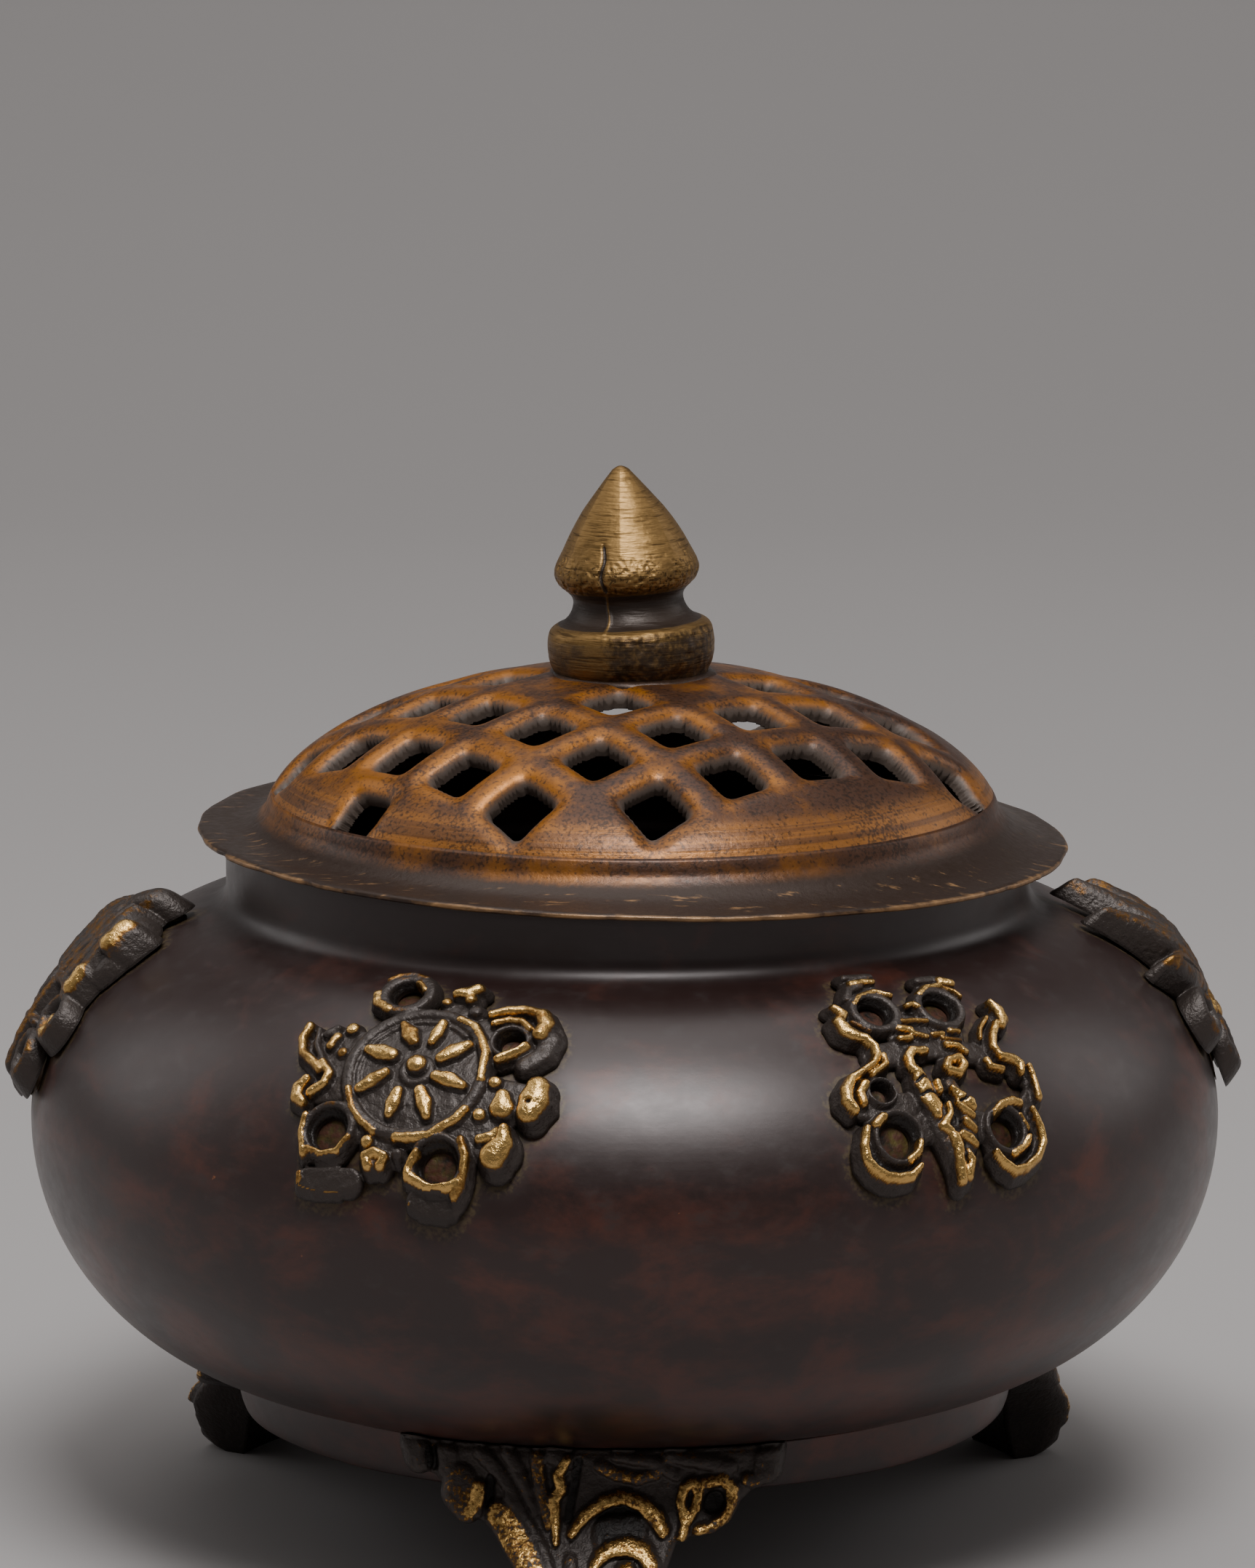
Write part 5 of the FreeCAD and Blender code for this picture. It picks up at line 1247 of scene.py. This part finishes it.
    sheet = addNode(tree, "GeometryNodeSetMaterial", {"Geometry": sheet, "Material": known["material"]})
    addNode(tree, "NodeGroupOutput", {"Geometry": sheet})
    return tree


def grownDome():
    # The tree's result with its wall, as plain arrays of points, faces and hole distances
    sheet = bpy.data.objects.new("domeSheet", bpy.data.meshes.new("domeSheet"))
    bpy.context.scene.collection.objects.link(sheet)
    grow = sheet.modifiers.new("grow", "NODES")
    grow.node_group = piercedDomeTree()
    for item in grow.node_group.interface.items_tree:
        if item.in_out == "INPUT":
            grow[item.identifier] = lidLook if item.name == "material" else domeForm[item.name]
    graph = bpy.context.evaluated_depsgraph_get()
    mesh = bpy.data.meshes.new_from_object(sheet.evaluated_get(graph))
    bpy.data.objects.remove(sheet)
    count = len(mesh.vertices)
    front, inside = np.empty(count * 3), np.empty(count * 3, dtype=np.float32)
    bore = np.empty(count, dtype=np.float32)
    mesh.vertices.foreach_get("co", front)
    mesh.attributes["inside"].data.foreach_get("vector", inside)
    mesh.attributes["bore"].data.foreach_get("value", bore)
    cells = np.array([list(face.vertices) for face in mesh.polygons])
    print("dome grown with", len(cells), "faces")
    front, inside = front.reshape(-1, 3), inside.reshape(-1, 3)
    points, faces, walls = thickened(front, front + inside, cells, openEdges(cells))
    return points, faces, np.concatenate([bore, np.zeros(count + walls)])


def brimProfile():
    edge = lidForm["brimEdge"]
    profile = [(40.6, 3.1), (42.0, 1.8), (43.3, 0.8), (44.6, 0.05), (46.2, 0.03), (47.7, 0.03), (49.4, -0.12)]
    profile += [(edge - 0.3, -0.36), (edge - 0.06, -0.28), (edge, -0.06), (edge - 0.06, 0.16), (edge - 0.3, 0.3)]
    profile.append((edge - 1.0, 0.38))
    profile += softCorner((edge - 1.6, 0.44), (44.4, 0.8), (43.02, 3.4), 14)
    profile += [(42.93, 3.75), (42.74, 4.3), (42.57, 4.7), (42.36, 5.1), (41.6, 4.4), (40.6, 3.1)]
    return profile


def makeLid():
    domePoints, domeFaces, bore = grownDome()
    brimPoints, brimFaces = turned(brimProfile(), lidForm["segments"])
    radius = np.hypot(brimPoints[:, 0], brimPoints[:, 1])
    edge = lidForm["brimEdge"]
    atEdge = smoothStep(*(edge - inset for inset in lidForm["nickZone"]), radius)
    ring = brimPoints * np.array([1, 1, 0])
    nick = np.clip(grain(ring, *lidForm["broadNicks"]) + 0.2, 0, 1)
    nick += 1.3 * np.clip(grain(ring, *lidForm["smallNicks"]) - 0.25, 0, 1)
    brimPoints[:, :2] *= (1 - nick * lidForm["brimNick"] * atEdge / np.maximum(radius, 1))[:, None]
    waves = lidForm["wave"] * grain(ring, *lidForm["waveGrain"])
    brimPoints[:, 2] += waves * smoothStep(*lidForm["waveZone"], radius)
    # rough pad under the finial
    padPoints, padFaces = turned(lidForm["padSection"], lidForm["padSegments"])
    padRadius = np.hypot(padPoints[:, 0], padPoints[:, 1])
    rough = lidForm["padRough"] * grain(padPoints, *lidForm["padGrain"]) * (padRadius > lidForm["padEdge"])
    padPoints[:, :2] *= (1 + rough)[:, None]
    blocks = [(domePoints, domeFaces), (brimPoints, brimFaces), (padPoints, padFaces)]
    points, faces = [], []
    for block, part in blocks:
        start = sum(len(other) for other in points)
        points.append(block)
        faces += [[v + start for v in face] for face in part]
    points = np.vstack(points)
    far = np.hypot(points[:, 0], points[:, 1])
    least = lidForm["dullLeast"]
    brim = least + (1 - least) * smoothStep(*lidForm["dullZone"], far)
    brim[:len(domePoints)] = least * smoothStep(*lidForm["dullFoot"], domePoints[:, 2])
    # painted shadow of the finial's flange on the pad, in the dull colour
    brim[-len(padPoints):] = lidForm["padShadow"]
    wear = smoothStep(*(edge - inset for inset in lidForm["wearZone"]), far) * lidForm["wearShare"]
    band = np.zeros(len(points))
    onBand = smoothStep(*lidForm["bandHeights"], domePoints[:, 2]) * smoothStep(*lidForm["bandPast"], bore)
    band[:len(domePoints)] = onBand
    bore = np.concatenate([bore, np.full(len(brimPoints) + len(padPoints), lidForm["noHole"])])
    return meshFrom("lid", bendLid(points), faces, {"bore": bore, "brim": brim, "wear": wear, "band": band})


addPiece("piercedLid", makeLid(), lidLook, "cover", "amber_bronze", "lid")

# Finial

finialForm = {
    "lean": -3.4, "seat": 19.7, "segments": 320, "step": 0.17, "facets": 7, "faceting": 0.3, "girth": 1.03,
    # heights where the pitted cone, the flange, the crack and the seam begin and end
    "coneStart": (9.4, 10.0), "pitEnd": (15.4, 11.8), "flangeEnd": (5.7, 4.9), "facetStart": (11.8, 15.5),
    "crackStart": (9.6, 10.4), "crackEnd": (16.0, 15.0), "seamStart": (5.2, 5.8), "seamEnd": (9.8, 9.2),
    # angles of the scorched side, the crack and the front ridge
    "scorchStart": (-38, -8), "scorchEnd": (105, 60), "crackAngle": -20, "crackWidth": 1.7, "ridgeAngle": -4,
    "pitDepth": 0.3, "crackDepth": 0.4, "seamRise": 0.25, "inset": 0.04,
    "waistEnd": (10.0, 9.3), "rubbedEdge": 4.9,
    "section": [
        (8.4, -1.2), (8.75, -0.2), (9.2, 0.6), (9.45, 1.6), (9.55, 3.0), (9.5, 4.0), (9.25, 5.0), (8.6, 5.5),
        (7.6, 5.9), (6.9, 6.5), (6.4, 7.4), (6.2, 8.3), (6.4, 9.0), (7.0, 9.6), (7.75, 10.2), (8.15, 10.9),
        (8.35, 11.7), (8.15, 12.6), (7.65, 13.7), (6.75, 15.5), (5.76, 17.2), (4.66, 18.9), (3.35, 20.6),
        (2.0, 22.3), (0.9, 23.6)],
}


def makeFinial():
    section = np.array(finialForm["section"])
    run = np.concatenate([[0], np.cumsum(np.hypot(*np.diff(section, axis=0).T))])
    even = np.arange(0, run[-1], finialForm["step"])
    outline = np.stack([np.interp(even, run, section[:, k]) for k in (0, 1)], axis=1)
    outline[:, 0] *= finialForm["girth"]
    kernel = np.array([1, 2, 3, 4, 3, 2, 1]) / 16  # softens the corners of the section
    outline[3:-3] = np.stack([np.convolve(outline[:, k], kernel, "valid") for k in (0, 1)], axis=1)
    profile = [(0, -1.2)] + outline.tolist() + [(0.5, 23.8), (0.2, 23.9), (0, 23.92)]
    points, faces = turned(profile, finialForm["segments"])
    radius, height = np.hypot(points[:, 0], points[:, 1]), points[:, 2].copy()
    angle = np.degrees(np.arctan2(points[:, 0], -points[:, 1]))
    # casting pits on the lower part of the cone, a rough scorched flange, and a crack that runs on as a seam
    ragged = height + 1.8 * grain(points, 2.4, 20)
    onCone = smoothStep(*finialForm["coneStart"], height) * smoothStep(*finialForm["pitEnd"], ragged)
    onFlange = smoothStep(*finialForm["flangeEnd"], height)
    pits = np.clip(grain(points, 0.55, 21), 0, 1) * onCone
    scorch = onFlange * smoothStep(*finialForm["scorchStart"], angle) * smoothStep(*finialForm["scorchEnd"], angle)
    lumps = 0.1 * grain(points, 5.0, 23) + scorch * (0.14 * grain(points, 1.5, 24) + 0.08 * grain(points, 0.7, 25))
    aside = angle - finialForm["crackAngle"] + 1.2 * np.sin(height * 1.7)
    line = np.exp(-(aside / finialForm["crackWidth"]) ** 2)
    crack = line * smoothStep(*finialForm["crackStart"], height) * smoothStep(*finialForm["crackEnd"], height)
    seam = line * smoothStep(*finialForm["seamStart"], height) * smoothStep(*finialForm["seamEnd"], height)
    # the cone was filed to flats, with one ridge at the front
    sector = 360 / finialForm["facets"]
    within = np.radians((angle - finialForm["ridgeAngle"]) % sector - sector / 2)
    flat = radius * (1 - math.cos(math.radians(sector / 2)) / np.cos(within)) * finialForm["faceting"]
    flat *= smoothStep(*finialForm["facetStart"], height)
    inward = finialForm["pitDepth"] * pits + finialForm["crackDepth"] * crack - finialForm["seamRise"] * seam
    inward = inward - lumps * smoothStep(0, 4, radius) + flat + finialForm["inset"]
    points[:, :2] *= (1 - inward / np.maximum(radius, 1.2))[:, None]
    # oxide on the flange, less so on its rubbed edge, and in the waist
    flangeDark = 0.42 - 0.35 * smoothStep(0.8, 0.2, np.abs(height - finialForm["rubbedEdge"]))
    waistDark = 0.8 * smoothStep(*finialForm["waistEnd"], height)
    dark = np.where(height < finialForm["flangeEnd"][0], flangeDark, waistDark)
    dark = np.maximum(dark - 0.5 * seam, crack)
    mesh = meshFrom("finial", points, faces, {"dark": dark, "scorch": scorch, "pit": onCone})
    seat = Matrix.Translation((lidForm["shift"], 0, bowlForm["rimHeight"] + finialForm["seat"]))
    place = seat @ Matrix.Rotation(math.radians(finialForm["lean"]), 4, "Y")
    mesh.transform(Matrix.Scale(mm, 4) @ place @ Matrix.Scale(1 / mm, 4))
    return mesh


addPiece("pointedFinial", makeFinial(), filedLook, "cover", "filed_brass", "finial")

# Solids that stay as they are get their finish
for node, look in (("foot_solder", brazeLook), ("finial_washer", filedLook)):
    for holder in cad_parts[node].material_slots:
        holder.material = look

# Studio

studio = {
    "colours": {"floor": "#a39f9e", "shade": "#9e9a99"}, "sky": "#8f8d8c", "skyStrength": 1.6, "frontStrength": 0.35,
    # the sheet bends up behind the burner
    "start": 800, "bend": 900, "near": -1600, "top": 3000, "halfWidth": 2500,
    # place, target and size in metres, and power
    "lights": {
        "keyLight": ((0.1, -0.52, 1.04), (0, 0, 0.06), (0.5, 0.42), 11.5),
        "topLight": ((-0.2, 0.22, 1.4), (0, 0.12, 0.0), (1.6, 1.1), 7.2),
        "leftLight": ((-1.0, 0.45, 0.6), (0, 0, 0.06), (0.6, 0.7), 1.3),
        "rightLight": ((1.0, 0.45, 0.6), (0, 0, 0.06), (0.6, 0.7), 1.3),
    },
}

# Matt pulp paper, rolled: grey with the faintest cloudiness
pulpPaper = {
    "colours": studio["colours"],
    "noises": {"clouds": {"size": metre / 3, "detail": 3.0}},
    "rows": [("tone", "paint", "clouds", "floor", "shade")],
    "surface": {"Base Color": "tone", "Roughness": 0.85},
}


def studioFloor():
    # Sheet that lies flat under the burner and curves up behind it
    bend, start = studio["bend"], studio["start"]
    section = [(studio["near"], 0), (-600, 0), (0, 0), (start, 0)]
    section += [(start + bend * math.sin(a), bend - bend * math.cos(a)) for a in np.radians(np.arange(3, 91, 3))]
    section.append((start + bend, studio["top"]))
    points = [(x, y, z) for y, z in section for x in (-studio["halfWidth"], studio["halfWidth"])]
    faces = [[2 * k, 2 * k + 1, 2 * k + 3, 2 * k + 2] for k in range(len(section) - 1)]
    floor = bpy.data.objects.new("floor", meshFrom("floor", points, faces, {}))
    floor.data.materials.append(makeMaterial("pulpPaperSweep", pulpPaper))
    bpy.context.scene.collection.objects.link(floor)


studioFloor()

# The room is darker on the side of the camera than behind the burner
world = bpy.data.worlds.new("studio")
world.use_nodes = True
tree = world.node_tree
backdrop = tree.nodes["Background"]
backdrop.inputs["Color"].default_value = linear(studio["sky"])
known = {"facing": addNode(tree, "ShaderNodeTexCoord").outputs["Generated"]}
addRows(tree, known, [
    ("facing", "parts", "facing"),
    ("fade", "range", "facing.Y", -0.9, 0.3, studio["frontStrength"], studio["skyStrength"]),
])
feed(tree, backdrop.inputs["Strength"], known["fade"])
bpy.context.scene.world = world


def softLight(name, place, target, size, power):
    lamp = bpy.data.lights.new(name, "AREA")
    lamp.shape = "RECTANGLE"
    lamp.size, lamp.size_y = size
    lamp.energy = power
    holder = bpy.data.objects.new(name, lamp)
    holder.location = place
    holder.rotation_euler = (Vector(target) - Vector(place)).to_track_quat("-Z", "Y").to_euler()
    bpy.context.scene.collection.objects.link(holder)


for name, form in studio["lights"].items():
    softLight(name, *form)

# Camera at the angle of the photograph: a long lens, a little above the lid
cameraForm = {"place": (0.00035, -0.8755, 0.2469), "tilt": 79.65, "lens": 174.07, "sensor": 36.0}
lens = bpy.data.cameras.new("camera")
lens.lens = cameraForm["lens"]
lens.sensor_fit = "VERTICAL"
lens.sensor_height = lens.sensor_width = cameraForm["sensor"]
camera = bpy.data.objects.new("camera", lens)
camera.location = cameraForm["place"]
camera.rotation_euler = (math.radians(cameraForm["tilt"]), 0.0, 0.0)
bpy.context.scene.collection.objects.link(camera)
bpy.context.scene.camera = camera
print("studio ready")
